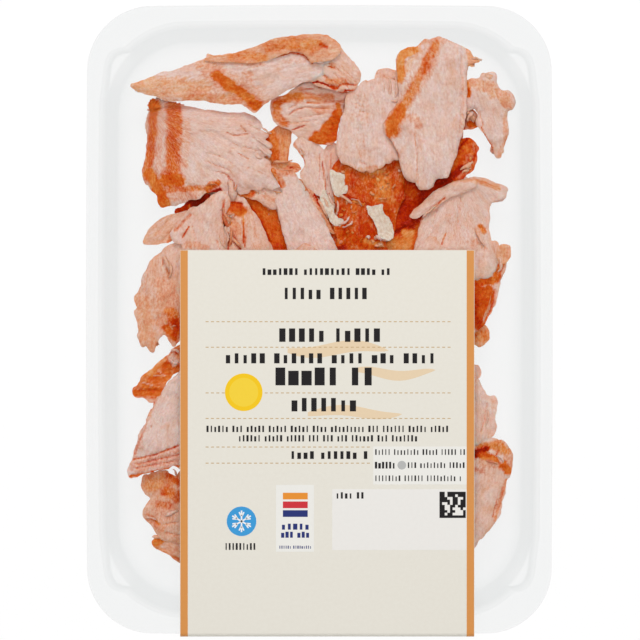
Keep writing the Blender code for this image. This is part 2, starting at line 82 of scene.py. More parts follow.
lug_reach = 2.4
lug_start = math.radians(8)
lug_spread = math.radians(37)
lug_skew = 2.2
corner_steps = 24
side_steps = 8
foot_steps = 12
cavity_depth = flange_top - base_top
foot_inset = foot_radius / math.cos(draft) + (cavity_depth - foot_radius) * math.tan(draft)
foot_centre = base_top + foot_radius


def linear(red, green, blue):
    """A colour given as sRGB bytes, as linear values."""
    shares = (red / 255, green / 255, blue / 255)
    return tuple(c / 12.92 if c <= 0.04045 else ((c + 0.055) / 1.055) ** 2.4 for c in shares)


def finish_piece(name, bm, material, replaces=None, sharp=35.0):
    """Makes a bmesh in tray millimetres into a smooth-shaded piece of the pack."""
    bmesh.ops.recalc_face_normals(bm, faces=bm.faces)
    bmesh.ops.scale(bm, vec=(MM, MM, MM), verts=bm.verts)
    bmesh.ops.translate(bm, vec=(0.0, tray_middle_y, 0.0), verts=bm.verts)
    mesh = bpy.data.meshes.new(name)
    bm.to_mesh(mesh)
    bm.free()
    mesh.shade_smooth()
    mesh.set_sharp_from_angle(angle=math.radians(sharp))
    mesh.materials.append(material)
    piece = bpy.data.objects.new(name, mesh)
    bpy.context.scene.collection.objects.link(piece)
    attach(piece, "root")
    if replaces:
        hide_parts(replaces)


def new_verts(made):
    """The vertices among what an operator made."""
    return [item for item in made if isinstance(item, bmesh.types.BMVert)]


def grown(outline, by):
    """A round-cornered outline of half sizes and corner radius, moved out all round."""
    half_x, half_y, corner = outline
    return (half_x + by, half_y + by, corner + by)


def on_corner(quarter, fraction, outline, lug):
    """The point at a fraction of the way round a corner of an outline, pushed out where the lug bulges."""
    half_x, half_y, corner = outline
    side_x, side_y = ((1, 1), (-1, 1), (-1, -1), (1, -1))[quarter % 4]
    angle = (quarter % 4 + fraction) * math.pi / 2
    from_side = (fraction if quarter % 2 == 0 else 1 - fraction) * math.pi / 2
    share = (from_side - lug_start) / lug_spread
    bulge = math.sin(math.pi * share**lug_skew) if 0.0 < share < 1.0 else 0.0
    centre = Vector((side_x * (half_x - corner), side_y * (half_y - corner)))
    return centre + (corner + lug * bulge) * Vector((math.cos(angle), math.sin(angle)))


def ring_point(slot, outline, lug):
    """Point number slot round an outline with bowed sides and a lug's bulge at each corner."""
    quarter, step = divmod(slot, corner_steps + side_steps)
    if step <= corner_steps:
        return on_corner(quarter, step / corner_steps, outline, lug)
    along = (step - corner_steps) / side_steps
    start, end = on_corner(quarter, 1.0, outline, lug), on_corner(quarter + 1, 0.0, outline, lug)
    turn = (quarter + 1) * math.pi / 2
    outward = Vector((math.cos(turn), math.sin(turn)))
    return start.lerp(end, along) + outward * side_bow * (1 - (2 * along - 1) ** 2)


def loft(levels):
    """Closed bmesh through levels of (outline, height, lug), with a flat face at each end."""
    bm = bmesh.new()
    slot = bm.verts.layers.int.new("slot")
    count = 4 * (corner_steps + side_steps)

    def place(vert, level):
        outline, height, lug = level
        vert.co = (*ring_point(vert[slot], outline, lug), height)

    for vert in bmesh.ops.create_circle(bm, segments=count, radius=1.0, cap_ends=True)["verts"]:
        vert[slot] = round(math.atan2(vert.co.y, vert.co.x) / (2 * math.pi) * count) % count
    for vert in bm.verts:
        place(vert, levels[0])
    edges = bm.edges[:]
    for level in levels[1:]:
        made = bmesh.ops.extrude_edge_only(bm, edges=edges)["geom"]
        fresh = set(new_verts(made))
        for vert in fresh:
            place(vert, level)
        edges = [item for item in made if isinstance(item, bmesh.types.BMEdge) and set(item.verts) <= fresh]
    bmesh.ops.contextual_create(bm, geom=edges)
    return bm


def wall_levels(out):
    """Levels of the tray's surface from its base up to its mouth, a distance outside its inner face."""
    levels = []
    radius = foot_radius + out
    for step in range(foot_steps + 1):
        turn = math.pi / 2 + (draft - math.pi / 2) * step / foot_steps
        reach = radius * math.cos(turn) - foot_inset
        levels.append((grown(mouth_outline, reach), foot_centre - radius * math.sin(turn), 0.0))
    for drop, lug in ((6.0, 0.0), (5.65, 0.25), (5.25, 2.1), (4.95, lug_reach), (4.0, lug_reach),
                      (mouth_edge, lug_reach)):
        height = flange_top - drop - (out if drop > mouth_edge else 0.0)
        reach = out / math.cos(draft) - (flange_top - height) * math.tan(draft)
        levels.append((grown(mouth_outline, reach), height, lug))
    return levels


def new_material(name):
    """A material with its nodes, its links and its shader."""
    material = bpy.data.materials.new(name)
    material.use_nodes = True
    tree = material.node_tree
    return material, tree.nodes, tree.links, tree.nodes["Principled BSDF"]


def set_inputs(node, values):
    """Sets a node's own sockets by their names."""
    for name, value in values.items():
        node.inputs[name].default_value = value


def feed(links, socket, value):
    """Links an output to a socket, or sets the socket to a plain value."""
    if isinstance(value, bpy.types.NodeSocket):
        links.new(value, socket)
    else:
        socket.default_value = (*value, 1.0) if socket.type == "RGBA" else value


def blended(nodes, links, factor, first, second):
    """Mix of two colours, each a socket or linear values, by a socket."""
    node = nodes.new("ShaderNodeMix")
    node.data_type = "RGBA"
    for name, value in (("Factor", factor), ("A", first), ("B", second)):
        feed(links, node.inputs[name], value)
    return node.outputs["Result"]


def ranged(nodes, links, value, low, high, to_low=0.0, to_high=1.0):
    """The value's run from low to high as a run from to_low to to_high, held at both ends."""
    node = nodes.new("ShaderNodeMapRange")
    spans = (("Value", value), ("From Min", low), ("From Max", high), ("To Min", to_low), ("To Max", to_high))
    for name, number in spans:
        feed(links, node.inputs[name], number)
    return node.outputs["Result"]


def raised_by(nodes, links, height, strength, distance):
    """The normal of a relief, from its height and the distance that its full height stands out."""
    bump = nodes.new("ShaderNodeBump")
    for name, value in (("Strength", strength), ("Distance", distance), ("Height", height)):
        feed(links, bump.inputs[name], value)
    return bump.outputs["Normal"]


def new_group(name, inputs, outputs):
    """An empty shader group with its sockets, given as names and kinds, and the nodes at its two ends."""
    group = bpy.data.node_groups.new(name, "ShaderNodeTree")
    for way, sockets in (("INPUT", inputs), ("OUTPUT", outputs)):
        for socket, kind in sockets.items():
            group.interface.new_socket(socket, in_out=way, socket_type=f"NodeSocket{kind}")
    nodes, links = group.nodes, group.links
    return group, nodes, links, nodes.new("NodeGroupInput").outputs, nodes.new("NodeGroupOutput").inputs


def surface_cloud():
    """Group: a fine cloud over a surface as a mask, the roughness it makes and the normal of its relief."""
    group, nodes, links, given, result = new_group(
        "surface cloud",
        {"Place": "Vector", "Scale": "Float", "Rough Low": "Float", "Rough High": "Float", "Relief": "Float"},
        {"Mask": "Float", "Roughness": "Float", "Normal": "Vector"})
    cloud = nodes.new("ShaderNodeTexNoise")
    cloud.inputs["Detail"].default_value = 3.0
    links.new(given["Place"], cloud.inputs["Vector"])
    links.new(given["Scale"], cloud.inputs["Scale"])
    mask = cloud.outputs["Fac"]
    links.new(mask, result["Mask"])
    roughness = ranged(nodes, links, mask, 0.3, 0.7, given["Rough Low"], given["Rough High"])
    links.new(roughness, result["Roughness"])
    links.new(raised_by(nodes, links, mask, 0.5, given["Relief"]), result["Normal"])
    return group


cloud_group = surface_cloud()


def clouded(nodes, links, scale, rough_low, rough_high, relief):
    """Places the cloud in a material, gives the shader its roughness and normal, and gives back its mask."""
    shader = nodes["Principled BSDF"]
    place = nodes.new("ShaderNodeTexCoord")
    cloud = nodes.new("ShaderNodeGroup")
    cloud.node_tree = cloud_group
    set_inputs(cloud, {"Scale": scale, "Rough Low": rough_low, "Rough High": rough_high, "Relief": relief})
    links.new(place.outputs["Object"], cloud.inputs["Place"])
    links.new(cloud.outputs["Roughness"], shader.inputs["Roughness"])
    links.new(cloud.outputs["Normal"], shader.inputs["Normal"])
    return cloud.outputs["Mask"]


def clear_plastic(name, tint, edge_tint, ior, shine, relief, scale, roughness=0.004):
    """Clear plastic, greyer where it is seen edge on, that lets soft light straight through."""
    material, nodes, links, shader = new_material(name)
    set_inputs(shader, {"Transmission Weight": 1.0, "IOR": ior, "Coat Weight": shine, "Coat Roughness": 0.05})
    clouded(nodes, links, scale, roughness * 0.7, roughness * 1.3, relief)
    facing = nodes.new("ShaderNodeLayerWeight")
    facing.inputs["Blend"].default_value = 0.2
    links.new(blended(nodes, links, facing.outputs["Facing"], tint, edge_tint), shader.inputs["Base Color"])
    rays = nodes.new("ShaderNodeLightPath")
    soft = nodes.new("ShaderNodeMath")
    soft.operation = "MAXIMUM"
    links.new(rays.outputs["Is Shadow Ray"], soft.inputs[0])
    links.new(rays.outputs["Is Diffuse Ray"], soft.inputs[1])
    through = nodes.new("ShaderNodeBsdfTransparent")
    mixed = nodes.new("ShaderNodeMixShader")
    links.new(soft.outputs["Value"], mixed.inputs["Fac"])
    links.new(shader.outputs["BSDF"], mixed.inputs[1])
    links.new(through.outputs["BSDF"], mixed.inputs[2])
    links.new(mixed.outputs["Shader"], nodes["Material Output"].inputs["Surface"])
    return material


inside = wall_levels(0.0)
outside = wall_levels(wall)
flange = [
    (grown(mouth_outline, edge_round), flange_top - 0.42, lug_reach),
    (grown(mouth_outline, 3 * edge_round), flange_top - edge_round, lug_reach),
    (grown(mouth_outline, mouth_edge), flange_top, lug_reach),
    (grown(rim_outline, -edge_round), flange_top, 0.0),
    (rim_outline, flange_top - edge_round, 0.0),
    (rim_outline, flange_top - wall + edge_round, 0.0),
    (grown(rim_outline, -edge_round), flange_top - wall, 0.0),
    (grown(mouth_outline, mouth_edge + wall), flange_top - wall, lug_reach),
]
tray_tint, tray_edge_tint = linear(245, 245, 245), linear(214, 216, 216)
tray_plastic = clear_plastic("clear tray", tray_tint, tray_edge_tint, 1.015, 0.03, 0.00003, 60.0)
finish_piece("tray_shell", loft(inside + flange + outside[-2::-1]), tray_plastic, "tray")

# Salmon
# Cooked fish broken by hand into flakes along its own layers. Each flake is a slab with a fine grain along
# its fibres, torn at its ends, and glazed orange where it lay on the outside of the fillet. Painted shade
# darkens the flakes' edges and sides and a few low folds and holes.
salmon_clearance = 0.45
floor_gap = 0.3
headroom = 1.0
rim_levels = 6
overlap = 0.25
Flake = namedtuple("Flake", "name outline low thick climb_right climb_back dome round_over fibre torn "
                   "peach glaze dark")

# One row for each flake, in millimetres from the tray's middle: its outline seen from above, the height of
# its underside over the tray's base, its thickness, how much it climbs over 10 mm to the right and to the
# back, how much its middle stands over its rim, and the round of its rim. Then come its fibres' angle in
# degrees or the point they fan out from, how far its torn ends reach, and three shares: peach in the flesh,
# glaze over it, and how dark the glaze is.
FLAKES = (
    ("wedge", (-56.7, 71, -54, 72, -51, 73, -48, 74.5, -44.4, 75.1, -40.5, 76.7, -35.9, 78.2, -33.5, 79.3,
     -27.5, 79.9, -23.9, 80.9, -19.1, 82.1, -14.9, 83.6, -5.8, 82.7, 1.7, 81.6, 4.4, 79.8, 3.9, 77.4, 2.9,
     75.4, 1.4, 73.6, -1, 72.4, -4.3, 71.9, -8.2, 70.1, -11.9, 68, -14.9, 66.5, -17.3, 64.7, -19.4, 62.7,
     -21.2, 64.1, -23.3, 65.1, -26.9, 65.3, -31.4, 65.7, -35.9, 66.3, -40.5, 66.5, -44.4, 66.3, -48, 66.9,
     -51.6, 68.3, -54.9, 69.5),
     8, 6.5, 0.43, 0.62, 1, 1.8, 12, 0.5, 0.12, 0, 0.2),
    ("wedge_rim", (-34.4, 78.8, -26.9, 80, -19.1, 82.1, -17.3, 83, -14.9, 83.9, -12.5, 84.7, -6.4, 85.5, -4,
     85.8, 1.4, 85.5, 3.5, 84.7, 5.6, 83, 6.5, 81.2, 5, 79.4, 3.2, 78.5, -0.4, 77.6, -2.5, 77.6, -3.7, 79.1,
     -5.8, 80.5, -8.2, 80.8, -10.6, 80, -13.4, 79.1, -15.5, 78.2, -18.5, 77.6, -20.9, 77.3, -23.9, 77.5,
     -27.5, 77.6, -31.4, 78.2),
     13.1, 4, 0.51, 0.03, 0, 1.8, 8, 0.5, 0.55, 0.4, 0.22),
    ("wedge_end", (1, 79.4, 3.2, 81.4, 5.6, 83, 7.1, 80.6, 9.8, 78.2, 11.9, 75.8, 12.2, 73.4, 11.6, 71, 10.4,
     69.5, 7.7, 68.9, 5, 69.2, 1.7, 70.1, -2, 71.6, -0.8, 73.7, 1.2, 75.8),
     9.4, 6, 0, 0, 0.5, 0.9, -40, 0.8, 0.35, 0, 0.2),
    ("left_chunk", (-51.3, 67.1, -48.6, 67.1, -45.6, 66.3, -42.6, 65.7, -39.6, 64.7, -35.9, 63.9, -31.4, 63.2,
     -26.3, 62.6, -22.7, 62.7, -20.3, 62, -18.2, 60.8, -17, 58.9, -17.6, 57.4, -16.1, 56.2, -17.3, 54.7,
     -15.2, 53.2, -16.4, 52, -14.9, 50.5, -17.3, 49.6, -15.5, 48.1, -14.6, 46, -13.1, 43, -11.6, 40, -14.3,
     39.4, -17.3, 40, -20.9, 39.1, -23.9, 38.2, -25.1, 39.4, -27.5, 38.8, -30.2, 39.1, -32.9, 38.5, -35, 37.9,
     -38.7, 36.7, -40.8, 35.4, -43.5, 34.2, -47.1, 34.2, -48.3, 35.2, -49.5, 38.5, -51, 40.3, -52.8, 42.1,
     -53.7, 44.2, -53.4, 46.6, -52.5, 50.5, -52.2, 55, -52.8, 59.5, -51.9, 64.7),
     1, 9, -0.27, 0.01, 1.5, 2.4, (-51, 63.2), 2.2, 0.15, 0, 0.3),
    ("chunk_foot", (-34.4, 40.9, -29.3, 39.7, -23.9, 39.1, -17.3, 40.3, -11.9, 40.3, -10, 37.9, -11.2, 35.2,
     -14.3, 33.9, -17.3, 35.5, -20.9, 37, -23.9, 37.6, -25.7, 36.4, -28.1, 35.5, -29.3, 37.3, -31.7, 38.5),
     1, 7.5, -0.63, 0.2, 0, 0.9, -28, 1.6, 0.25, 0, 0.2),
    ("crescent", (-14.9, 66.2, -13.1, 67.4, -10.6, 68.3, -8.2, 69.8, -6.1, 71, -3.4, 71.6, -1, 71.6, 1.4,
     70.7, 4.1, 69.5, 6.5, 68.6, 8.3, 68.6, 7.7, 66.2, 7.1, 63.2, 6.2, 59.5, 5.6, 55.9, 4.4, 54.1, 2, 53.5,
     -1, 53.8, -2.5, 54.4, -4.3, 55, -6.4, 55.9, -8.2, 57.1, -10, 58.3, -12.2, 58.9, -13.7, 60.1, -14.3, 63.2),
     2, 8, -0.07, 0.83, 0.5, 1.8, -6, 0.9, 0.25, 0, 0.3),
    ("glazed_bit", (-17.3, 55.9, -15.5, 57.1, -13.1, 58.3, -10.6, 59.5, -8.8, 58.3, -8.8, 55.3, -9.3, 52,
     -9.7, 49.4, -9.7, 47.2, -11.9, 46.6, -14.3, 46.9, -15.5, 48.1, -16.4, 49.6, -16.1, 52.3),
     1, 5.5, 0, 0, 0.5, 0.9, 80, 1, 0.8, 0.62, 0.3),
    ("tan_strip", (-17.3, 49, -14.3, 48.1, -10.3, 48.1, -7.6, 47.8, -6.1, 47.2, -5.8, 46, -7.6, 45.1, -10.3,
     45.7, -13.4, 45.7, -15.5, 46.6),
     3, 4, 0, 0, 0, 0.9, -14, 0.6, 0.5, 0.5, 0.25),
    ("pale_strip", (-7.9, 53.2, -6.7, 54.7, -5.2, 55.9, -2.8, 55.3, -0.4, 53.5, 1.4, 51.1, 2, 48.1, 2.3, 44.5,
     2, 41.2, 1.7, 38.2, 0.8, 37, -1.3, 38.2, -3.4, 39.7, -4.9, 42.1, -5.8, 44.5, -4.9, 46.3, -4.6, 48.1,
     -5.8, 50.5, -7, 52),
     3.5, 5.5, 0, 0, 0.8, 0.9, -72, 0.9, 0.2, 0, 0.3),
    ("thin_strip", (1.7, 52.3, 3.8, 53.8, 5.6, 52.3, 5.6, 48.1, 5, 45.1, 4.1, 42.1, 4.4, 39.1, 5.6, 37, 3.8,
     36.1, 2, 37.3, 1.4, 42.1, 1.7, 46.6, 1.4, 49.6),
     2, 5.5, 0, 0, 0, 0.9, -88, 0.6, 0.3, 0.05, 0.3),
    ("centre_block", (7.7, 64.7, 8.3, 67.7, 9.2, 69.2, 11.6, 71, 12.8, 71.9, 15.9, 72.5, 19.5, 72.8, 24, 71.6,
     24.9, 68.6, 25.2, 66.5, 23.4, 65, 22.5, 62.6, 21.3, 58.6, 20.7, 55.6, 21.9, 53.2, 23.1, 51.1, 24, 48.7,
     21.9, 48.1, 20.1, 47.2, 18.3, 45.7, 15.3, 44.8, 12.2, 45.1, 9.8, 46, 7.7, 47.2, 6.5, 48.1, 5.6, 50.5,
     5.3, 52.6, 5.9, 55.6, 6.5, 60.1, 7.1, 62.6),
     6, 8, 0, 0.55, 1, 0.9, -86, 0.9, 0.15, 0, 0.2),
    ("tufts", (17.1, 74.3, 18.3, 75.5, 20.4, 75.8, 22.5, 75.5, 23.7, 74.6, 24.3, 71.6, 24.6, 68.6, 24.3, 66.5,
     22.8, 65.9, 21.3, 67.4, 19.8, 68.6, 17.7, 69.8, 17.1, 71.6),
     7, 7, 0, 0, 0, 0.9, -62, 1.2, 0.3, 0, 0.2),
    ("top_slab", (23.4, 78.8, 24.3, 80.6, 26.7, 81.8, 29.1, 82.1, 30.3, 83, 31.5, 84.2, 33.9, 84.5, 35.7, 85,
     36.9, 84.5, 38.7, 83.6, 40.9, 83, 42.4, 82.4, 43.9, 81.5, 44.2, 79.7, 44.5, 77.6, 44.5, 75.2, 44.2, 72.2,
     44.2, 68.6, 44.2, 64.7, 43.9, 60.8, 43.3, 57.1, 42.4, 54.7, 41.5, 51.1, 40.6, 48.1, 39.7, 45.1, 38.4,
     43.3, 36.3, 42.7, 35.1, 41.8, 34.2, 40.3, 32.7, 39.7, 30.6, 39.7, 29.7, 40.9, 29.1, 42.1, 27.6, 41.8,
     26.1, 42.7, 25.2, 44.5, 24.6, 46.6, 24, 49.6, 23.1, 51.7, 21.9, 54.1, 20.1, 56.2, 19.5, 58.6, 20.7, 61.7,
     22.5, 63.8, 23.7, 65, 24.3, 67.4, 23.7, 70.7, 23.7, 73.7, 23.4, 76.4),
     9, 7.5, 0.03, 0.45, 2, 1, -84, 0.7, 0.12, 0, 0.3),
    ("slab_tuft", (42.4, 81.8, 44.2, 81.8, 45.4, 80.9, 46, 79.7, 46, 78.8, 47.2, 79.1, 48.1, 78.2, 47.2, 77.6,
     45.7, 77, 44.8, 75.5, 43.6, 75.2, 42.4, 77.6),
     9.5, 4.5, 0, 0, 0, 0.9, -20, 1.2, 0.7, 0.3, 0.12),
    ("arch_flake", (43.6, 71.9, 46, 72.8, 48.4, 73.1, 49, 74.3, 51.1, 74.6, 53.2, 74.3, 53.5, 71.9, 54.7,
     69.8, 57.1, 69.2, 58.3, 68, 58.9, 65.9, 58.3, 63.8, 56.8, 62.9, 57.1, 59.5, 57.4, 57.1, 56.8, 54.4, 55.9,
     52, 55, 49.6, 54.1, 49, 53.2, 50.5, 52, 52.9, 50.8, 55, 49.6, 56.8, 48.7, 58.3, 47.8, 59.5, 47.8, 62.6,
     46.6, 64.1, 44.8, 63.8, 43.6, 66.2),
     6.5, 6, -0.27, 1.13, 1.5, 0.9, -72, 0.8, 0.15, 0, 0.15),
    ("arch_under", (43.3, 68.3, 45.4, 65, 46.6, 64.1, 47.8, 62.6, 48.4, 59.8, 47.8, 58.3, 45.4, 58, 43.3,
     58.3, 43, 60.8, 43, 63.8),
     3, 5, 0, 0, 0, 0.9, -85, 0.8, 0.5, 0.35, 0.35),
    ("glazed_knob", (42.7, 54.1, 44.2, 54.7, 46, 54.7, 47.2, 53.5, 48.1, 52, 47.5, 50.5, 47.5, 48.1, 46.9,
     46.3, 45.7, 44.8, 44.2, 43.6, 42.4, 43, 40.3, 42.7, 40, 45.1, 40.3, 48.1, 41.2, 51.1, 41.8, 52.9),
     4, 7, 0, -0, 0.5, 1.6, -75, 0.8, 0.5, 0.85, 0.5),
    ("dark_slope", (23.1, 51.1, 25.5, 51.1, 27.9, 48.1, 29.7, 44.5, 33.3, 42.7, 36.3, 45.1, 39.4, 46.3, 41.8,
     43.3, 39.4, 40.9, 36.3, 39.1, 34.5, 36.1, 33.3, 32.4, 31.5, 30.6, 30.3, 28.2, 29.7, 25.2, 28.8, 21, 28.5,
     17.4, 18.3, 17.4, 19.8, 22.5, 21.9, 25.5, 22.2, 30, 20.7, 34.5, 19.8, 39.1, 21.9, 43.6, 23.7, 46.6),
     1, 7, 0.23, 0.25, 0.5, 0.9, -133, 0.9, 0.5, 1, 0.8),
    ("rough_chunk", (5.6, 48.7, 7.7, 48.7, 12.2, 46.6, 15.3, 46.3, 18.9, 47.5, 21.9, 48.1, 23.7, 48.7, 25.5,
     44.5, 25.5, 40.6, 25.8, 37.6, 24.3, 34.5, 23.1, 31.5, 22.8, 27.6, 22.2, 25.5, 19.8, 24, 19.8, 17.4, 4.7,
     17.4, 3.8, 21, 5.6, 24, 4.7, 27.6, 5.6, 31.5, 5, 35.5, 4.4, 39.1, 4.1, 42.7, 4.4, 46.6),
     1, 8.5, 0.03, 0.32, 1, 0.9, -95, 1, 0.4, 0.95, 0.5),
    ("curd_long", (14.3, 34.7, 15.6, 34.4, 17.1, 35, 19, 35, 19.2, 33, 20.1, 31.5, 21.3, 30.3, 22, 28.2, 22.2,
     24.8, 21, 24.5, 19.8, 24.8, 17.8, 25.1, 17.8, 27.3, 17.2, 29.1, 16.2, 30.9, 15.1, 32, 14.7, 33.3),
     8.5, 3, 0, 0, 0, 0.8, -67, 1.6, 0, 0, 0.2),
    ("curd_short", (3.8, 44.8, 5.6, 44.8, 7.4, 44.2, 7.7, 42.1, 8.3, 40, 7.7, 38.5, 5.6, 38.2, 4.7, 39.1, 3.8,
     42.1),
     7.4, 3.2, 0, 0, 0, 1, -75, 1.6, 0, 0, 0.2),
    ("pale_shred", (1.4, 39.1, 2.6, 37.3, 3.8, 35.2, 4.4, 32.4, 5.6, 30.6, 8, 30.4, 9.6, 30.4, 8.6, 29.3, 6.2,
     28.9, 4.1, 29.4, 2.9, 31.2, 1.4, 33.9, 0.5, 36.7),
     6, 3, 0, 0, 0, 1, -74, 0.5, 0.05, 0, 0.2),
    ("middle_slab", (-14.3, 45.7, -10.3, 45.4, -7.6, 44.5, -5.8, 42.1, -4, 39.1, -2.2, 36.1, -0.4, 33, 1.4,
     30, 3.2, 26.4, 4.7, 22.5, 5.6, 17.4, -5.8, 16.5, -8.8, 19.5, -9.7, 22.5, -10.9, 26.4, -11.9, 30, -12.5,
     33.6, -13.1, 36.7, -11.2, 39.1, -12.5, 42.1),
     1.5, 8, -0.09, 0.34, 1, 0.9, -72, 0.6, 0.03, 0, 0.25),
    ("orange_edge", (-6.7, 42.7, -5.2, 42.1, -3.4, 39.7, -1.6, 37.9, -0.1, 35.8, 0.8, 33.9, 2, 31.2, 3.2,
     28.8, 4.4, 26.4, 3.2, 26.7, 1.4, 29.7, -0.4, 32.4, -2.8, 35.5, -4.9, 38.5, -6.4, 40.6),
     4.5, 4.5, 0, 0, 0, 0.9, -58, 0.5, 0.6, 0.35, 0.3),
    ("folded_flake", (-28.4, 28.5, -28.2, 32.4, -27.3, 35.4, -25.4, 37.8, -23, 36.7, -20.9, 33.6, -18.8, 30.6,
     -17.3, 27.6, -15.8, 24.6, -14.3, 21, -13.4, 17.4, -26.3, 17.4, -29.4, 21, -29.8, 24.6, -29.2, 27),
     3.5, 6.5, -0.05, 0.44, 1.5, 0.9, -84, 0.7, 0.4, 0, 0.3),
    # This fold lies low in shade: its full, dark glaze is partly its own glaze and partly painted shade.
    ("dark_fold", (-23, 37.9, -19.4, 37, -16.4, 35.8, -14, 34.2, -12.8, 31.2, -11.6, 27.6, -10.3, 24, -9.4,
     20.4, -8.8, 17.4, -13.7, 17.4, -15.5, 21.6, -17.3, 25.5, -19.1, 29.4, -21.2, 33.6),
     1, 5.5, 0, 0, 0, 0.9, -70, 0.7, 0.5, 1, 0.45),
    ("wing", (-53.4, 23.4, -51.9, 27, -49.8, 29.7, -47.1, 31.2, -43.5, 32.1, -39.6, 33, -37.2, 32.4, -39,
     30.9, -42, 29.1, -43.8, 26.7, -45, 24, -48, 23.4, -51, 23.1),
     4, 5, 1.06, 0.51, 0.5, 0.9, 30, 0.7, 0.55, 0.15, 0.15),
    ("wing_body", (-39, 33.9, -35.9, 34.8, -33.5, 36.7, -31.4, 38.5, -29.3, 39.1, -27.5, 38.2, -27.2, 35.2,
     -28.4, 32.1, -29.3, 29.4, -29, 25.5, -28.4, 21, -28.1, 17.4, -40.5, 17.4, -41.1, 21, -42, 23.1, -44.4,
     24, -45, 26.4, -43.5, 28.8, -41.1, 30.9),
     4.5, 6.5, 0.1, 0.34, 1, 0.9, -100, 1, 0.25, 0, 0.3),
    # A low flake whose dark red glaze paints the shade of the hole between the flakes around it, over some
    # glaze of its own.
    ("dark_bit", (-43.8, 33.6, -42, 34.5, -39.9, 36.1, -39, 37.6, -35.9, 38.5, -32.9, 37.9, -33.2, 35.5,
     -35.9, 33.3, -39, 32.4, -41.4, 31.8, -43.2, 32.1),
     1.5, 5, 0, 0, 0, 0.9, 12, 0.6, 0.5, 1, 0.86),
    ("hook", (27.9, 30.9, 27.6, 32.1, 29.7, 33.9, 31.5, 35.2, 33.3, 37.3, 35.4, 39.1, 37.8, 40, 40.3, 41.2,
     43, 41.8, 46, 42.1, 47.8, 40.9, 44.2, 38.8, 40.9, 37.6, 38.1, 36.4, 36.3, 34.8, 35.1, 33.6, 33.3, 32.7,
     31.5, 32.1, 29.7, 30.9),
     7, 4.5, 0, 0, 0.5, 0.9, 24, 0.5, 0.3, 0, 0.2),
    ("right_flake", (40, 41.2, 41.8, 42.4, 44.2, 43, 47.8, 43, 50.8, 42.4, 53.2, 41.2, 55.3, 40.6, 57.1, 39.7,
     56.5, 37.9, 55.3, 36.1, 53.2, 35.5, 52, 33.9, 51.4, 31.5, 51.4, 27.6, 52.3, 24, 53.2, 21, 53.8, 17.4,
     53.2, 14.5, 51.8, 12.4, 48, 11.7, 44, 11.7, 43.6, 17.4, 27.9, 17.4, 28.8, 21, 29.4, 24, 30.3, 27, 30.9,
     29.4, 32.1, 31.8, 34.2, 33.6, 36.3, 35.5, 38.1, 37.6, 39.4, 39.7),
     2, 8, 0.02, 0.34, 1, 0.9, (42.3, 46.6), 1.1, 0.22, 0, 0.2),
    ("right_mid", (46, 24, 53.5, 24, 54.4, 21.6, 55.9, 21.9, 56.8, 19.5, 56.8, 16.5, 55.9, 13.5, 54.7, 11.1,
     54.1, 8.3, 53.5, 5.3, 52.6, 2.9, 51.4, 0.5, 50.2, -1.6, 48.7, -2.5, 47.2, -3.7, 43.9, -3.1, 43.3, 21),
     1.5, 7.5, 0, -0, 0.8, 0.9, -102, 0.8, 0.32, 0, 0.3),
    ("right_knob", (54.1, 21, 54.7, 22.2, 56.2, 22.8, 57.7, 22.2, 58, 20.4, 57.3, 18.2, 56, 17.2, 54.4, 18.2),
     5.5, 4.5, 0, 0, 0, 0.9, -90, 0.6, 0.6, 0.3, 0.15),
    ("right_tab", (44.2, -0.7, 48.4, -1.3, 50.5, -1.9, 51.4, -3.7, 51.7, -5.8, 50.5, -7.3, 48.7, -8.2, 46.9,
     -7, 44.2, -6.1),
     2, 4.5, 0, 0, 0, 0.9, -85, 0.8, 0.6, 0.55, 0.2),
    ("right_small", (44.2, -13.9, 47.5, -13.6, 48.7, -14.5, 49, -16.4, 48.1, -18.2, 46.9, -18.8, 44.2, -18.8),
     2, 4.5, 0, 0, 0.3, 0.9, -85, 0.8, 0.5, 0.1, 0.2),
    ("right_low", (44.2, -18.2, 47.5, -18.2, 48.7, -19.4, 49.9, -21.2, 50.8, -23, 52, -23.6, 53.2, -23.6,
     53.8, -25.4, 53.5, -27.8, 52.9, -30.2, 53.5, -32.3, 52.9, -34.4, 51.7, -36.2, 50.2, -37.1, 47.8, -38,
     44.2, -38),
     2.5, 9.5, 0, 0, 0.8, 0.9, -85, 0.8, 0.28, 0, 0.2),
    ("right_end", (43.6, -37.7, 47.8, -36.5, 50.2, -36.2, 52.9, -36.2, 55.3, -36.5, 57.1, -38, 58.3, -39.8,
     58.6, -42.3, 58.3, -45.3, 57.7, -47.7, 56.5, -48.9, 56.5, -51.9, 55.6, -54.3, 55, -57.3, 54.1, -59.7,
     52.9, -61.5, 51.1, -63.6, 49.6, -65.5, 48.1, -66.7, 46.9, -68.8, 43.6, -69.4),
     1.5, 11, 0, -0, 1, 1.8, -104, 0.7, 0.3, 0, 0.3),
    ("left_ragged", (-48, 20.4, -46.5, 21.9, -43.5, 23.1, -39.6, 23.4, -39.6, 5.9, -39.6, -3.1, -42, -5.5,
     -43.2, -7, -44.4, -8.2, -45.6, -6.4, -46.2, -4.9, -47.4, -4.3, -48.6, -5.2, -49.5, -6.7, -50.1, -8.5,
     -50.4, -9.7, -51.6, -9.1, -52.2, -7.9, -53.7, -7.9, -54.6, -6.4, -55.2, -4.9, -54.6, -3.7, -54.9, -1.6,
     -55.8, 1.1, -56.1, 2.6, -55.2, 3.5, -55.8, 5, -56.1, 6.8, -55.2, 8.3, -54.6, 9.5, -54, 11.7, -53.7, 13.2,
     -52.5, 14.7, -51.9, 16.8, -50.7, 18.3, -49.2, 19.8),
     1.5, 7, 0, -0, 1, 0.9, -96, 1.3, 0.5, 0.1, 0.18),
    ("glazed_fin", (-56.7, -23, -56.7, -21.2, -55.5, -20.3, -54.3, -18.8, -54, -17.6, -52.2, -16.1, -50.4,
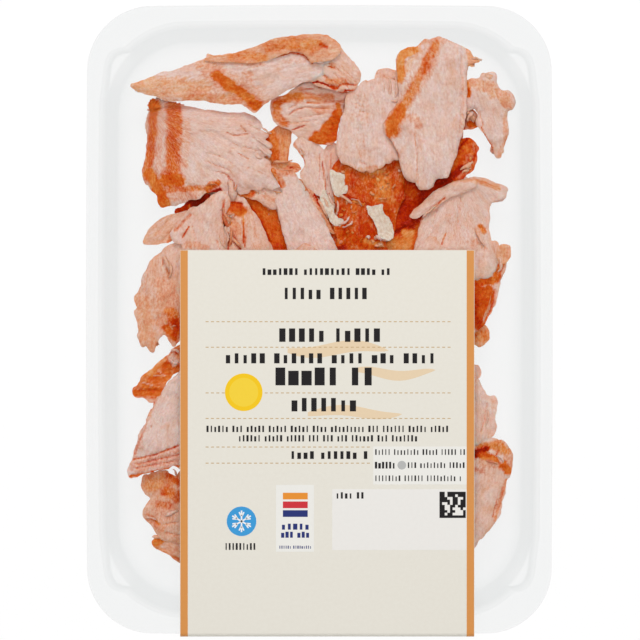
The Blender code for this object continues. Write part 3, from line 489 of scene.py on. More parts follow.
     -14.8, -48.9, -13, -47.1, -11.5, -45.6, -10.3, -44.1, -8.5, -39.6, -7.3, -39.6, -12.7, -42, -15.2, -44.1,
     -16.4, -45.6, -17.9, -47.1, -20, -48, -22.4, -49.2, -24.8, -51, -25.1, -52.5, -24.2, -54, -23.6, -55.5,
     -23.6),
     2.5, 5.5, 0.36, 0.29, 0.5, 0.9, 38, 0.7, 0.4, 0.85, 0.33),
    ("left_slab", (-39.6, -15.2, -43.2, -17, -45, -18.5, -46.8, -20.6, -48, -22.7, -49.5, -24.2, -50.4, -26.6,
     -51.3, -28.4, -52.2, -30.2, -53.4, -32.6, -54.6, -35, -55.2, -37.4, -56.1, -39.8, -56.7, -42.3, -57.6,
     -44.4, -57.9, -46.5, -57.3, -48, -55.5, -47.4, -53.1, -46.5, -51, -46.2, -48.6, -45.3, -46.5, -45, -44.4,
     -44.1, -39.6, -42.9),
     3, 10.5, 0.15, 0.41, 1, 0.9, -110, 0.5, 0, 0, 0.3),
    ("left_low", (-54, -48.9, -53.4, -47.7, -51.6, -47.1, -49.5, -46.5, -47.4, -46.2, -45, -46.8, -43.5,
     -47.4, -39.6, -47.1, -39.6, -72.4, -42.6, -68.5, -45, -67.6, -48, -66.4, -48.9, -65.5, -50.4, -63.6,
     -51.6, -62.1, -52.8, -60.9, -53.4, -58.8, -52.8, -56.7, -51.9, -55.2, -51.6, -54.3, -53.1, -52.8, -54,
     -51),
     1.5, 7, 0, 0, 1, 1.6, -88, 1.1, 0.45, 0.3, 0.22),
    ("left_end", (-51, -67.9, -50.1, -66.7, -48.6, -66.4, -47.1, -66.1, -44.4, -66.1, -39.6, -66.7, -39.6,
     -74.8, -43.5, -73.3, -45.6, -71.8, -48, -70.3, -50.1, -69.1),
     1.5, 6, 0, 0, 0, 0.9, -28, 0.6, 0.45, 0.3, 0.3),
)
# Flakes of the layer below. A spine from tail to head and half widths to its left and right stand in place
# of an outline, and its bow, its climb to the head and its arch follow the thickness.
BED_FLAKES = (
    ("bed_wedge", (-41, 73.6), (1, 77), (2.5, 4, 4.8, 5, 4), (2.5, 4, 4.8, 5, 4), 0.3, 8.6, -1, 0, 0, 5, 0.8,
     0.5, 0.4, 0.3),
    ("bed_slab", (33.5, 77), (37, 45), (6, 8, 8.5, 7, 5), (5, 8, 9, 8, 6), 0.3, 9.8, 0, 0, 0, -85, 0.8, 0.5,
     0.7, 0.6),
    ("bed_centre", (2, 66), (27, 60), (4, 5, 5.5, 5.5, 4), (4, 5, 5.5, 5.5, 4), 0.3, 7.2, 0, 0, 0, -20, 0.8,
     0.5, 0.6, 0.5),
    ("bed_right", (-9, 29), (49, 29), (8, 9, 10, 12, 10), (9, 9, 9, 9, 9), 0.3, 6.2, 0, 0, 0, -5, 0.8, 0.5,
     0.95, 0.55),
    ("bed_left", (-34, 22), (-8, 32), (5, 8, 8, 7, 5), (8, 8, 8, 8, 8), 0.3, 5.2, 0, 0, 0, 20, 0.8, 0.5, 0.7,
     0.5),
)
# Strokes of glaze on each flake, and cracks as thin strokes: the points of a line in tray millimetres, then
# its radius, strength and darkness. A strength under nothing lifts the glaze off. A few strokes, marked where
# they stand, paint shade and cast shadows.
STROKES = {
    "wedge": ((-32.3, 74.6, -26.3, 70.4, -18.5, 65, 3.92, 0.5, 0.26),
        (-31.1, 73.7, -26.3, 70.1, -19.4, 65.3, 2.11, 1.1, 0.4), (-54, 70.4, -35.9, 69.8, 3.61, 0.6, 0.14),
        (-39.6, 66.8, -23.9, 66.5, 2.11, 0.7, 0.3), (-22.4, 74, -20.3, 68.6, 2.11, 0.42, 0.3),
        # Painted shadow: the stroke from (-25.1, 77.6) and the thin dark stroke from (-12.8, 79.4) are the
        # shadow the wedge_rim's lower edge casts on the wedge.
        (-36.6, 77, -26.3, 78.5, 1.51, 0.5, 0.2), (-25.1, 77.6, -17.3, 77.6, 1.2, 0.5, 0.3),
        (-12.8, 79.4, -8.8, 80.6, -4.9, 80, -2.2, 77.6, 0.48, 1, 0.6),
        (-10.3, 78.2, -5.2, 77.9, 0.9, 0.3, 0.3)),
    "wedge_rim": ((-26.3, 79.4, -16.7, 79.1, 1.81, 0.8, 0.28), (-15.5, 82.1, -9.4, 83, 2.11, 0.8, 0.3),
        (-8.2, 83, -1, 82.4, 2.71, 0.85, 0.3), (0.5, 82.7, 2.3, 82.1, 0.75, 1, 0.6)),
    "wedge_end": ((2.9, 76.4, 4.4, 75.8, 0.36, 1, 0.6), (3.2, 77.6, 4.4, 76.4, 0.75, 0.6, 0.35),
        (1.4, 73.7, 3.5, 71.9, 0.42, 0.9, 0.5), (5, 75.8, 8, 73.4, 10.4, 70.4, 0.24, 0.5, 0.36),
        (4.1, 74.3, 6.8, 72.2, 8.9, 69.8, 0.24, 0.5, 0.36),
        (6.8, 75.8, 9.8, 73.4, 11.3, 71.3, 0.24, 0.4, 0.3), (2.6, 71.9, 7.7, 71.6, 1.2, 0.7, 0.35),
        (-2.8, 71.3, -0.4, 71.9, 2.3, 70.7, 5, 69.5, 0.39, 1.2, 0.9), (3.5, 70.1, 5, 69.8, 0.72, 0.95, 0.66),
        (5, 69.5, 6.5, 71, 11, 71, 0.36, 0.9, 0.55), (7.4, 68.9, 10.4, 69.2, 0.36, 1, 0.7),
        (8, 69.2, 8.3, 67.4, 0.36, 1, 0.8)),
    "left_chunk": ((-44.1, 65, -44.4, 51.1, -44.7, 42.1, 2.71, 0.9, 0.44),
        (-46.5, 42.7, -42.6, 42.4, 2.11, 1.1, 0.44), (-46.8, 39.4, -39, 40, -34.1, 40, 1.2, 0.85, 0.43),
        (-34.4, 40, -30.8, 41.5, 1.08, 1, 0.42), (-34.1, 37.9, -30.5, 39.4, 0.9, 1.2, 0.9),
        (-51, 65.3, -50.1, 65, 2.41, 1.1, 0.42), (-50.4, 63.8, -50.7, 54.1, -52.2, 46.3, 1.81, 0.9, 0.42),
        (-48, 63.8, -48.6, 51.1, -48.9, 41.5, 1.05, 0.4, 0.35),
        (-51.6, 44.5, -49.2, 40.3, -47.1, 34.5, 2.11, 1.15, 0.36),
        (-28.1, 56.8, -25.7, 55.9, -21.8, 56.5, 0.27, 0.7, 0.45), (-23.9, 58.9, -22.1, 57.1, 0.24, 0.6, 0.4),
        (-26.3, 53.8, -24.5, 52.9, 0.24, 0.6, 0.4), (-24.5, 50.5, -21.5, 48.7, 0.27, 0.75, 0.5),
        (-23, 52.6, -18.5, 51.1, 0.27, 0.5, 0.4), (-31.7, 45.1, -28.1, 44.2, -25.7, 41.5, 0.27, 0.6, 0.45),
        (-27.8, 43.3, -26, 41.2, 0.33, 0.9, 0.62), (-33.5, 50.5, -29.3, 49.3, -26.3, 47.2, 0.24, 0.45, 0.35),
        (-34.4, 48.1, -31.4, 46.9, -26.9, 45.1, 0.24, 0.4, 0.35), (-22.1, 59.5, -18.5, 57.7, 0.27, 0.5, 0.35),
        (-20.3, 55.3, -17.3, 53.8, 0.27, 0.6, 0.4), (-22.1, 46.3, -17.3, 44.5, 0.24, 0.4, 0.35),
        (-40.2, 60.1, -40.8, 46.6, 1.2, 0.4, 0.3), (-45.6, 37, -35.3, 38.8, 1.81, 0.5, 0.36),
        (-40.2, 44.5, -35.9, 42.7, 1.81, -0.5, 0.3)),
    "chunk_foot": ((-25.1, 37.3, -20.3, 38.2, 1.2, 0.9, 0.43), (-17.3, 37.3, -13.4, 36.4, 0.9, 0.4, 0.25)),
    "crescent": ((-13.1, 65.6, -10.6, 67.1, -5.8, 67.4, 1.66, 0.95, 0.42),
        (-5.8, 67.7, 3.8, 67.4, 1.2, 0.75, 0.33), (-13.1, 65, -12.2, 61.4, -10.6, 59.5, 1.51, 0.85, 0.34),
        (-10.6, 68.3, -5.8, 69.8, 1.2, 0.6, 0.3), (-5.5, 69.8, -1.9, 70.1, 0.27, 0.9, 0.6),
        (-3.4, 65.9, 7.7, 66.2, 0.48, 0.75, 0.42),
        (-9.1, 62.3, -7, 63.8, -4.6, 64.4, 3.2, 64.1, 0.33, 0.65, 0.5), (-9.4, 63.8, -7, 65.3, 0.3, 0.5, 0.4),
        (-8.2, 57.7, -4.6, 58.9, 0.33, 0.95, 0.62), (-1, 63.5, 5, 63.8, 1.51, 0.4, 0.33),
        (-5.8, 61.4, 0.8, 62.3, 0.24, 0.4, 0.35), (-7, 59.8, -1, 60.5, 0.24, 0.4, 0.35),
        (-0.4, 55, 5, 55.9, 2.11, 1.4, 0.46), (5.3, 62, 5.6, 56.5, 1.81, 1.4, 0.52),
        (2, 57.7, 5.3, 60.8, 1.81, 1.4, 0.5), (-2.2, 54.4, 0.8, 54.4, 0.9, 1.2, 0.4),
        (5.6, 65.3, 6.5, 62, 0.9, 1.1, 0.4)),
    "glazed_bit": ((-14, 56.8, -13.4, 49, 1.66, 0.95, 0.38), (-11.2, 56.5, -10.9, 49.3, 0.6, 0.8, 0.34),
        (-17.3, 56.2, -15.5, 53.8, 1.05, 1.1, 0.56), (-17.3, 52.9, -15.2, 50.8, 0.39, 1.1, 0.85),
        (-19.1, 49.9, -16.7, 48.7, 0.51, 1.1, 0.8)),
    "tan_strip": ((-14.3, 47.5, -6.7, 46.9, 1.51, 0.7, 0.3),
        (-14.6, 47.2, -11.2, 47.2, -8.2, 46.3, 0.3, 1, 0.7)),
    "middle_slab": ((-15.5, 46.3, -13.7, 43.3, -11.6, 40.3, 0.42, 1.1, 0.6),
        (-14.9, 46.9, -11.2, 40.9, 1.05, 0.8, 0.38), (-13.1, 45.1, -8.2, 45.7, 2.11, 0.65, 0.33),
        (-4, 40.3, 0.2, 37.3, 0.39, 1, 0.7), (-2.2, 39.1, 0.8, 34.8, 1.05, 0.7, 0.42)),
    "orange_edge": ((-7, 43.3, -4.6, 39.1, 1.2, 0.85, 0.38), (-1, 37.9, 0.2, 35.2, 0.78, 1.2, 0.88),
        (-0.4, 33.6, 4.4, 27, 1.2, 0.6, 0.34), (-4, 40.3, 2, 31.8, 0.33, 0.8, 0.6)),
    "pale_strip": ((-5.2, 49.9, -4.6, 47.5, 0.42, 1, 0.72), (-7.9, 53.5, -5.8, 49.3, 0.75, 0.5, 0.28),
        (0.2, 50.5, 0.2, 42.7, 0.24, 0.5, 0.4), (0.8, 48.1, 2.3, 38.5, 0.33, 0.8, 0.58)),
    "thin_strip": ((4.4, 45.7, 4.7, 37.3, 0.75, 0.6, 0.4), (3.5, 50.5, 3.5, 40.6, 0.27, 0.5, 0.4)),
    "centre_block": ((7.1, 46.3, 12.8, 45.1, 20.7, 45.7, 1.2, 0.45, 0.22),
        (5, 48.1, 5.3, 45.7, 1.05, 1, 0.42), (7.4, 66.2, 6.8, 52.3, 1.2, -0.7, 0.2),
        (12.5, 47.8, 13.7, 47.2, 0.45, 0.45, 0.5), (11, 65.3, 12.8, 64.4, 0.24, 0.4, 0.4),
        (12.2, 62.9, 14.7, 62.6, 0.24, 0.4, 0.4), (12.8, 66.2, 12.2, 51.1, 2.71, 0.14, 0.2)),
    "tufts": ((17.7, 73.4, 23.1, 72.2, 1.51, 0.3, 0.2), (20.1, 67.1, 19.5, 69.8, 20.4, 72.8, 0.36, 0.5, 0.35),
        (21.9, 66.8, 21.6, 69.8, 22.2, 72.2, 0.42, 0.6, 0.38),
        (24, 67.1, 23.7, 70.4, 22.8, 72.8, 0.42, 0.7, 0.42),
        (21.3, 65.9, 23.1, 65.6, 22.5, 63.8, 0.39, 0.6, 0.5)),
    "dark_slope": ((38.7, 43.6, 35.1, 40.3, 31.5, 36.7, 27.9, 33.9, 2.41, 1.2, 0.8),
        (33.3, 40.3, 38.1, 42.7, 0.9, 1.1, 0.84), (25.5, 40.9, 28.5, 38.5, 2.11, 1.2, 0.6),
        (23.7, 47.5, 24.9, 42.7, 1.36, 1.2, 0.64), (23.1, 48.7, 24, 45.1, 0.75, 1.1, 0.76),
        (26.7, 33.6, 24.3, 29.4, 22.5, 26.7, 2.41, 1.2, 0.78), (26.1, 27.9, 23.1, 26.4, 0.9, 1.2, 0.92),
        (21.9, 22.2, 28.8, 24, 3.01, 1.2, 0.27), (26.1, 26.7, 28.5, 26.4, 1.2, 0.8, 0.12),
        (30.3, 28.8, 29.1, 22.2, 1.05, 1.1, 0.48), (22.5, 33.6, 22.2, 29.7, 0.72, 0.8, 0.1)),
    "rough_chunk": ((17.7, 44.5, 20.1, 37.9, 2.71, 0.45, 0.3), (15.9, 38.8, 21.9, 36.1, 1.2, 0.55, 0.3),
        (6.2, 38.5, 11, 36.1, 0.72, 1.2, 0.68), (5, 34.5, 7.1, 31.8, 1.05, 1.2, 0.62),
        (13.7, 27.6, 17.4, 24.6, 1.51, 1.2, 0.64), (7.1, 26.1, 15.9, 21.9, 1.81, 1.2, 0.58),
        (4.4, 21.6, 7.7, 21.9, 0.9, 1.3, 0.85), (19.5, 34.8, 21.9, 31.2, 1.51, 1.2, 0.62),
        (15.9, 44.5, 19.5, 45.1, 0.75, 0.55, 0.15), (10.4, 36.1, 13.4, 34.8, 0.36, 0.8, 0.1),
        (14.1, 24, 18.9, 22.8, 0.75, 0.4, 0.2)),
    "glazed_knob": ((40, 42.7, 41.8, 46.6, 43.6, 51.1, 44.8, 53.8, 2.11, 1.2, 0.48),
        (40, 43, 43, 45.7, 1.2, 1.2, 0.86), (41.5, 50.5, 43.3, 53.2, 45.4, 55.3, 0.36, 1.1, 0.8),
        (46.9, 48.1, 47.8, 52.3, 0.54, 1, 0.6), (44.2, 52, 46.3, 50.5, 0.9, 1, 0.3)),
    "top_slab": ((35.4, 83.6, 33.9, 79.7, 31.5, 75.8, 29.7, 72.2, 27.9, 68.6, 26.4, 65.6, 2.71, 0.45, 0.27),
        (35.1, 83, 33.6, 79.4, 31.5, 75.8, 29.7, 72.2, 27.9, 68.6, 26.4, 65.6, 1.75, 0.85, 0.33),
        (24.9, 63.8, 23.4, 61.4, 22.2, 58.9, 22.2, 57.1, 2.41, 1.1, 0.34),
        (26.7, 62.3, 29.1, 58.9, 1.51, 0.45, 0.3), (26.7, 62.6, 27.6, 62.3, 0.6, -0.7, 0.3),
        (21.3, 54.7, 23.1, 51.7, 24, 48.7, 0.33, 0.6, 0.45),
        (28.8, 55.9, 29.4, 48.1, 29.7, 41.5, 0.3, 0.5, 0.3),
        (42.7, 78.2, 43.3, 66.2, 42.4, 56.5, 0.6, 0.3, 0.3),
        (24, 72.8, 24.3, 77.6, 25.5, 80, 28.5, 81.5, 1.81, 1, 0.25),
        (25.8, 75.2, 27, 78.2, 29.7, 80.6, 1.66, 0.5, 0.22), (28.5, 82.4, 32.1, 83.9, 0.9, 0.5, 0.25),
        (28.2, 79.1, 26.1, 77.9, 25.5, 76.1, 0.27, 0.6, 0.4), (26.1, 78.2, 27, 78.8, 0.36, -0.7, 0.3)),
    "slab_tuft": ((44.2, 79.4, 48.4, 78.8, 1.51, 0.5, 0.2), (43.3, 80, 43.6, 79.1, 0.39, 0.9, 0.6)),
    "arch_flake": ((44.5, 71.3, 44.8, 68, 1.08, 1.2, 0.5), (45.4, 71.6, 52.3, 70.4, 1.81, 0.55, 0.2),
        (49.6, 69.8, 53.8, 67.4, 56.2, 64.4, 0.75, 0.6, 0.35), (53.5, 68.6, 56.8, 66.2, 2.11, 0.55, 0.2),
        (56.2, 62.6, 56.5, 54.1, 54.4, 49.6, 0.9, 0.45, 0.22), (49, 58.3, 50.5, 55.3, 52.6, 52, 0.3, 1, 0.55),
        (48.4, 62.9, 49.6, 58.9, 0.36, 0.6, 0.45)),
    "arch_under": ((43.6, 66.8, 43.9, 57.1, 0.72, 0.9, 0.55), (45.7, 59.5, 47.8, 59.2, 1.2, 1.1, 0.42),
        (46.6, 63.2, 46.9, 61.4, 0.54, 0.8, 0.55)),
    "right_flake": ((40, 41.8, 48.4, 42.1, 54.4, 40, 1.05, 0.75, 0.25),
        (39.4, 39.4, 42.4, 40.6, 46, 41.5, 0.3, 0.6, 0.5), (49, 28.2, 49.9, 26.7, 0.96, 0.95, 0.42),
        (45.4, 29.4, 46.3, 25.5, 1.51, -0.8, 0.4), (47.2, 24, 50.2, 21.9, 0.9, 0.4, 0.35),
        (36.6, 21.3, 38.4, 26.4, 0.36, 0.8, 0.4), (30, 28.2, 31.5, 30.9, 0.36, 0.8, 0.6),
        (40, 36.1, 45.4, 24.6, 4.52, 0.16, 0.3), (43, 37.3, 41.8, 28.5, 0.27, 0.35, 0.3),
        (35.7, 34.2, 33.3, 24, 0.27, 0.35, 0.3)),
    # The hook's first, thin dark stroke is painted shade along its lower side.
    "hook": ((31.5, 30.9, 34.5, 33.9, 38.1, 37, 0.36, 1, 0.58), (41.2, 42.7, 48.4, 42.1, 0.9, 0.45, 0.2)),
    "right_mid": ((47.8, 10.8, 52.6, 11.7, 1.51, 1.2, 0.5), (48.4, 7.7, 50.8, 7.1, 2.71, 1.25, 0.58),
        (47.8, 4.4, 48.4, -1.9, 2.11, 1.25, 0.66), (51.4, 8.9, 49.6, 2.3, 1.51, 1.1, 0.5),
        (56.5, 18.9, 54.4, 15, 53.8, 12, 1.27, 1, 0.43), (53.2, 8.9, 52.3, 3.5, 49.9, -1.6, 0.48, 0.95, 0.55),
        (51.4, 16.8, 52.3, 16.2, 0.36, 0.5, 0.4), (49, 19.2, 50.2, 17.4, 0.3, 0.4, 0.35)),
    "right_knob": ((56.2, 22.2, 56.8, 18.6, 1.51, 0.5, 0.2),),
    "right_tab": ((48.4, -4.9, 50.5, -5.5, 2.41, 0.85, 0.26), (46.9, -4, 47.5, -4.9, 0.75, 0.9, 0.48)),
    "right_low": ((50.8, -25.4, 50.2, -30.2, 49, -33.8, 0.36, 0.35, 0.35),
        (52.3, -24.8, 52.6, -26.6, 1.2, 0.35, 0.22)),
    "right_end": ((49, -38.6, 54.4, -38, 56.8, -39.8, 1.66, 0.9, 0.26),
        (46.6, -41.1, 49.3, -40.1, 50.5, -39.2, 1.39, 1.4, 0.95), (49.6, -41.4, 53.2, -42.3, 1.36, 1.2, 0.56),
        (49.6, -43.5, 57.4, -42.9, 1.81, 0.45, 0.3), (55.6, -43.8, 57.4, -45, 1.66, 1.2, 0.45),
        (54.1, -39.5, 53.5, -41.4, 0.33, 1, 0.6), (54.4, -41.7, 55.3, -43.2, 0.39, -0.9, 0.3),
        (47.2, -45.3, 49.3, -45.9, 0.9, 0.55, 0.45), (56.8, -48.3, 55, -54.3, 53.2, -60.9, 0.6, 0.7, 0.36),
        (53.8, -54.3, 52.6, -59.7, 0.3, 0.7, 0.45)),
    "left_ragged": ((-46.2, 9.5, -43.2, 2.3, 3.61, 0.42, 0.32), (-47.4, 4.7, -45, -3.1, 3.92, 0.45, 0.34),
        (-45, 2.3, -42.9, -2.5, 2.41, 0.9, 0.42), (-44.1, -1.3, -42.6, -3.4, 1.36, 1.2, 0.66),
        (-46.8, -2.5, -44.1, -5.2, 1.66, 1, 0.44), (-44.1, -4.6, -43.2, -7, 0.6, 0.9, 0.5),
        (-47.4, 18.9, -47.7, 16.5, 0.33, 0.8, 0.45), (-46.2, 15.6, -45.9, 13.2, 0.57, 0.7, 0.4),
        (-47.1, 19.2, -45.6, 16.8, -44.7, 14.4, 0.3, 0.45, 0.35), (-54.3, 5.9, -51.6, -6.7, 2.71, 0.45, 0.2),
        (-51, 10.5, -47.4, 4.4, 2.71, 0.2, 0.3), (-51.9, 15, -53.1, 8.9, 0.3, 0.35, 0.3),
        (-48.6, 1.1, -49.2, -3.1, 0.3, 0.4, 0.35)),
    "glazed_fin": ((-55.8, -22.4, -48.6, -21.8, 1.66, 1.2, 0.36), (-52.8, -19.4, -45.6, -17, 1.81, 1, 0.36),
        (-54.6, -21.5, -48.9, -21.5, 0.48, 1.2, 0.46), (-51, -17.9, -45.6, -15.8, 1.05, 1.2, 0.4),
        (-47.1, -14.2, -42.6, -13.9, 1.2, 1.2, 0.48), (-51.6, -16.4, -48, -12.1, 1.2, 0.8, 0.22),
        (-49.2, -15.5, -46.8, -17.3, 0.21, -0.9, 0.3), (-53.7, -19.1, -51, -20, 0.24, -0.9, 0.3),
        (-50.4, -17, -48, -17, 0.18, -0.7, 0.3), (-45, -10.9, -43.8, -13, 1.36, -0.9, 0.3),
        (-45.6, -10.6, -44.4, -9.4, -43.2, -10.3, 0.33, 1, 0.6), (-55.2, -24.2, -50.4, -24.8, 0.75, -0.7, 0.3)),
    "left_slab": ((-48.6, -22.4, -51, -27.8, -53.4, -33.8, -55.2, -39.2, -56.7, -45.3, 0.78, 0.4, 0.34),
        (-49.8, -23.9, -51.6, -29, 0.3, 0.8, 0.45), (-53.4, -33.8, -55.8, -40.8, 0.3, 0.7, 0.45),
        (-54, -44.4, -42.6, -41.1, 2.41, 0.5, 0.38), (-56.1, -42.3, -49.5, -40.8, -42.6, -38, 0.39, 0.9, 0.5),
        (-55.5, -43.8, -42.6, -40.8, 0.36, 0.8, 0.5), (-55.5, -45, -43.2, -42.6, 0.33, 0.8, 0.46),
        (-57.3, -47.4, -51, -46.5, -42.6, -44.4, 0.66, 0.95, 0.48),
        (-45.9, -23, -45.6, -23.6, 0.3, 0.6, 0.45), (-51, -32, -50.7, -32.6, 0.3, 0.5, 0.4)),
    "left_low": ((-51.6, -49.5, -44.4, -48.3, 3.01, 0.75, 0.25),
        (-45.6, -47.7, -42.6, -49.5, 1.51, 0.95, 0.48), (-46.8, -51.9, -42.6, -54.3, 2.11, 0.9, 0.43),
        (-48.6, -56.1, -45.6, -56.7, 1.51, 0.8, 0.43), (-51, -60.3, -48.6, -62.1, 0.48, 1.1, 0.66),
        (-52.2, -59.7, -48, -63.3, 1.36, 0.6, 0.4), (-46.8, -59.7, -42.6, -57.9, 0.3, 0.7, 0.45),
        (-48, -62.4, -42.6, -61.5, 0.3, 0.7, 0.45), (-46.8, -64.8, -42.6, -65.8, 0.33, 0.7, 0.45),
        (-48.6, -58.5, -43.2, -64.5, 2.41, 0.35, 0.35)),
    "left_end": ((-50.4, -68.2, -47.7, -66.7, 1.66, 1.1, 0.32), (-49.2, -70, -43.2, -73, 0.9, 0.75, 0.35)),
    "wing": ((-50.1, 25.8, -45.6, 30.6, 0.3, 0.5, 0.35),
        (-46.2, 23.4, -43.2, 27, -39, 31.5, 0.78, 0.75, 0.38), (-48, 24, -42.6, 29.4, 0.27, 0.4, 0.35)),
    "wing_body": ((-41.4, 25.2, -39.6, 28.2, 0.39, 1, 0.55), (-40.2, 22.8, -34.4, 21.6, 1.36, 0.5, 0.3),
        (-43.8, 27, -39, 31.8, 0.54, 0.65, 0.42), (-29, 36.1, -29.3, 29.4, 0.48, 0.85, 0.55),
        (-28.7, 28.2, -28.4, 21.6, 0.3, 0.7, 0.45), (-31.1, 24, -30.2, 21.6, 0.39, 0.5, 0.4),
        (-39, 29.4, -36.6, 22.2, 0.24, 0.35, 0.3), (-29.3, 38.8, -26.9, 36.1, 0.6, 0.35, 0.25)),
    # The first two strokes on the folded flake are painted shade in the fold at its back end.
    "folded_flake": ((-27.2, 35.5, -23.6, 35.2, 0.54, 1.2, 0.88), (-26.6, 34.2, -23.9, 33, 1.81, 1.2, 0.55),
        (-23.9, 35.2, -23, 30.6, -23, 23.4, 0.45, 1.1, 0.6), (-29.3, 29.4, -26.9, 29.1, 0.54, 1.1, 0.8),
        (-29, 34.2, -27.5, 29.4, 1.2, 0.95, 0.46), (-26.6, 31.5, -25.1, 27, 1.66, 0.65, 0.36),
        (-26.9, 26.4, -25.1, 24, 0.36, 0.9, 0.6), (-22.4, 25.2, -22.7, 22.2, 0.36, 0.85, 0.5),
        (-26, 23.7, -23.9, 21.6, 0.48, 0.9, 0.62), (-21.8, 31.5, -19.1, 22.5, 1.81, 0.3, 0.25),
        (-27.2, 25.2, -27.8, 21.3, 0.36, 1, 0.7)),
    # The dark strokes on the dark fold paint shade as well as glaze.
    "dark_fold": ((-17.3, 34.5, -13.1, 24, 4.22, 1.15, 0.47),
        (-21.2, 34.8, -17.3, 28.2, -14.9, 23.4, 0.54, 1.2, 0.74), (-14.3, 22.8, -10.6, 22.5, 1.36, 1.2, 0.6),
        (-11.9, 31.8, -10, 22.2, 0.42, 1.1, 0.62), (-20.3, 36.1, -14.9, 35.2, 0.9, 1.1, 0.5)),
    # Its darkest strokes paint the shade inside the hole.
    "dark_bit": ((-38.4, 35.5, -35, 35.8, 2.11, 1.3, 0.97), (-43.5, 33.3, -40.2, 33.9, 1.51, 1.2, 0.68),
        (-39.6, 35.2, -39.3, 32.7, 0.36, 0.7, 0.2)),
}
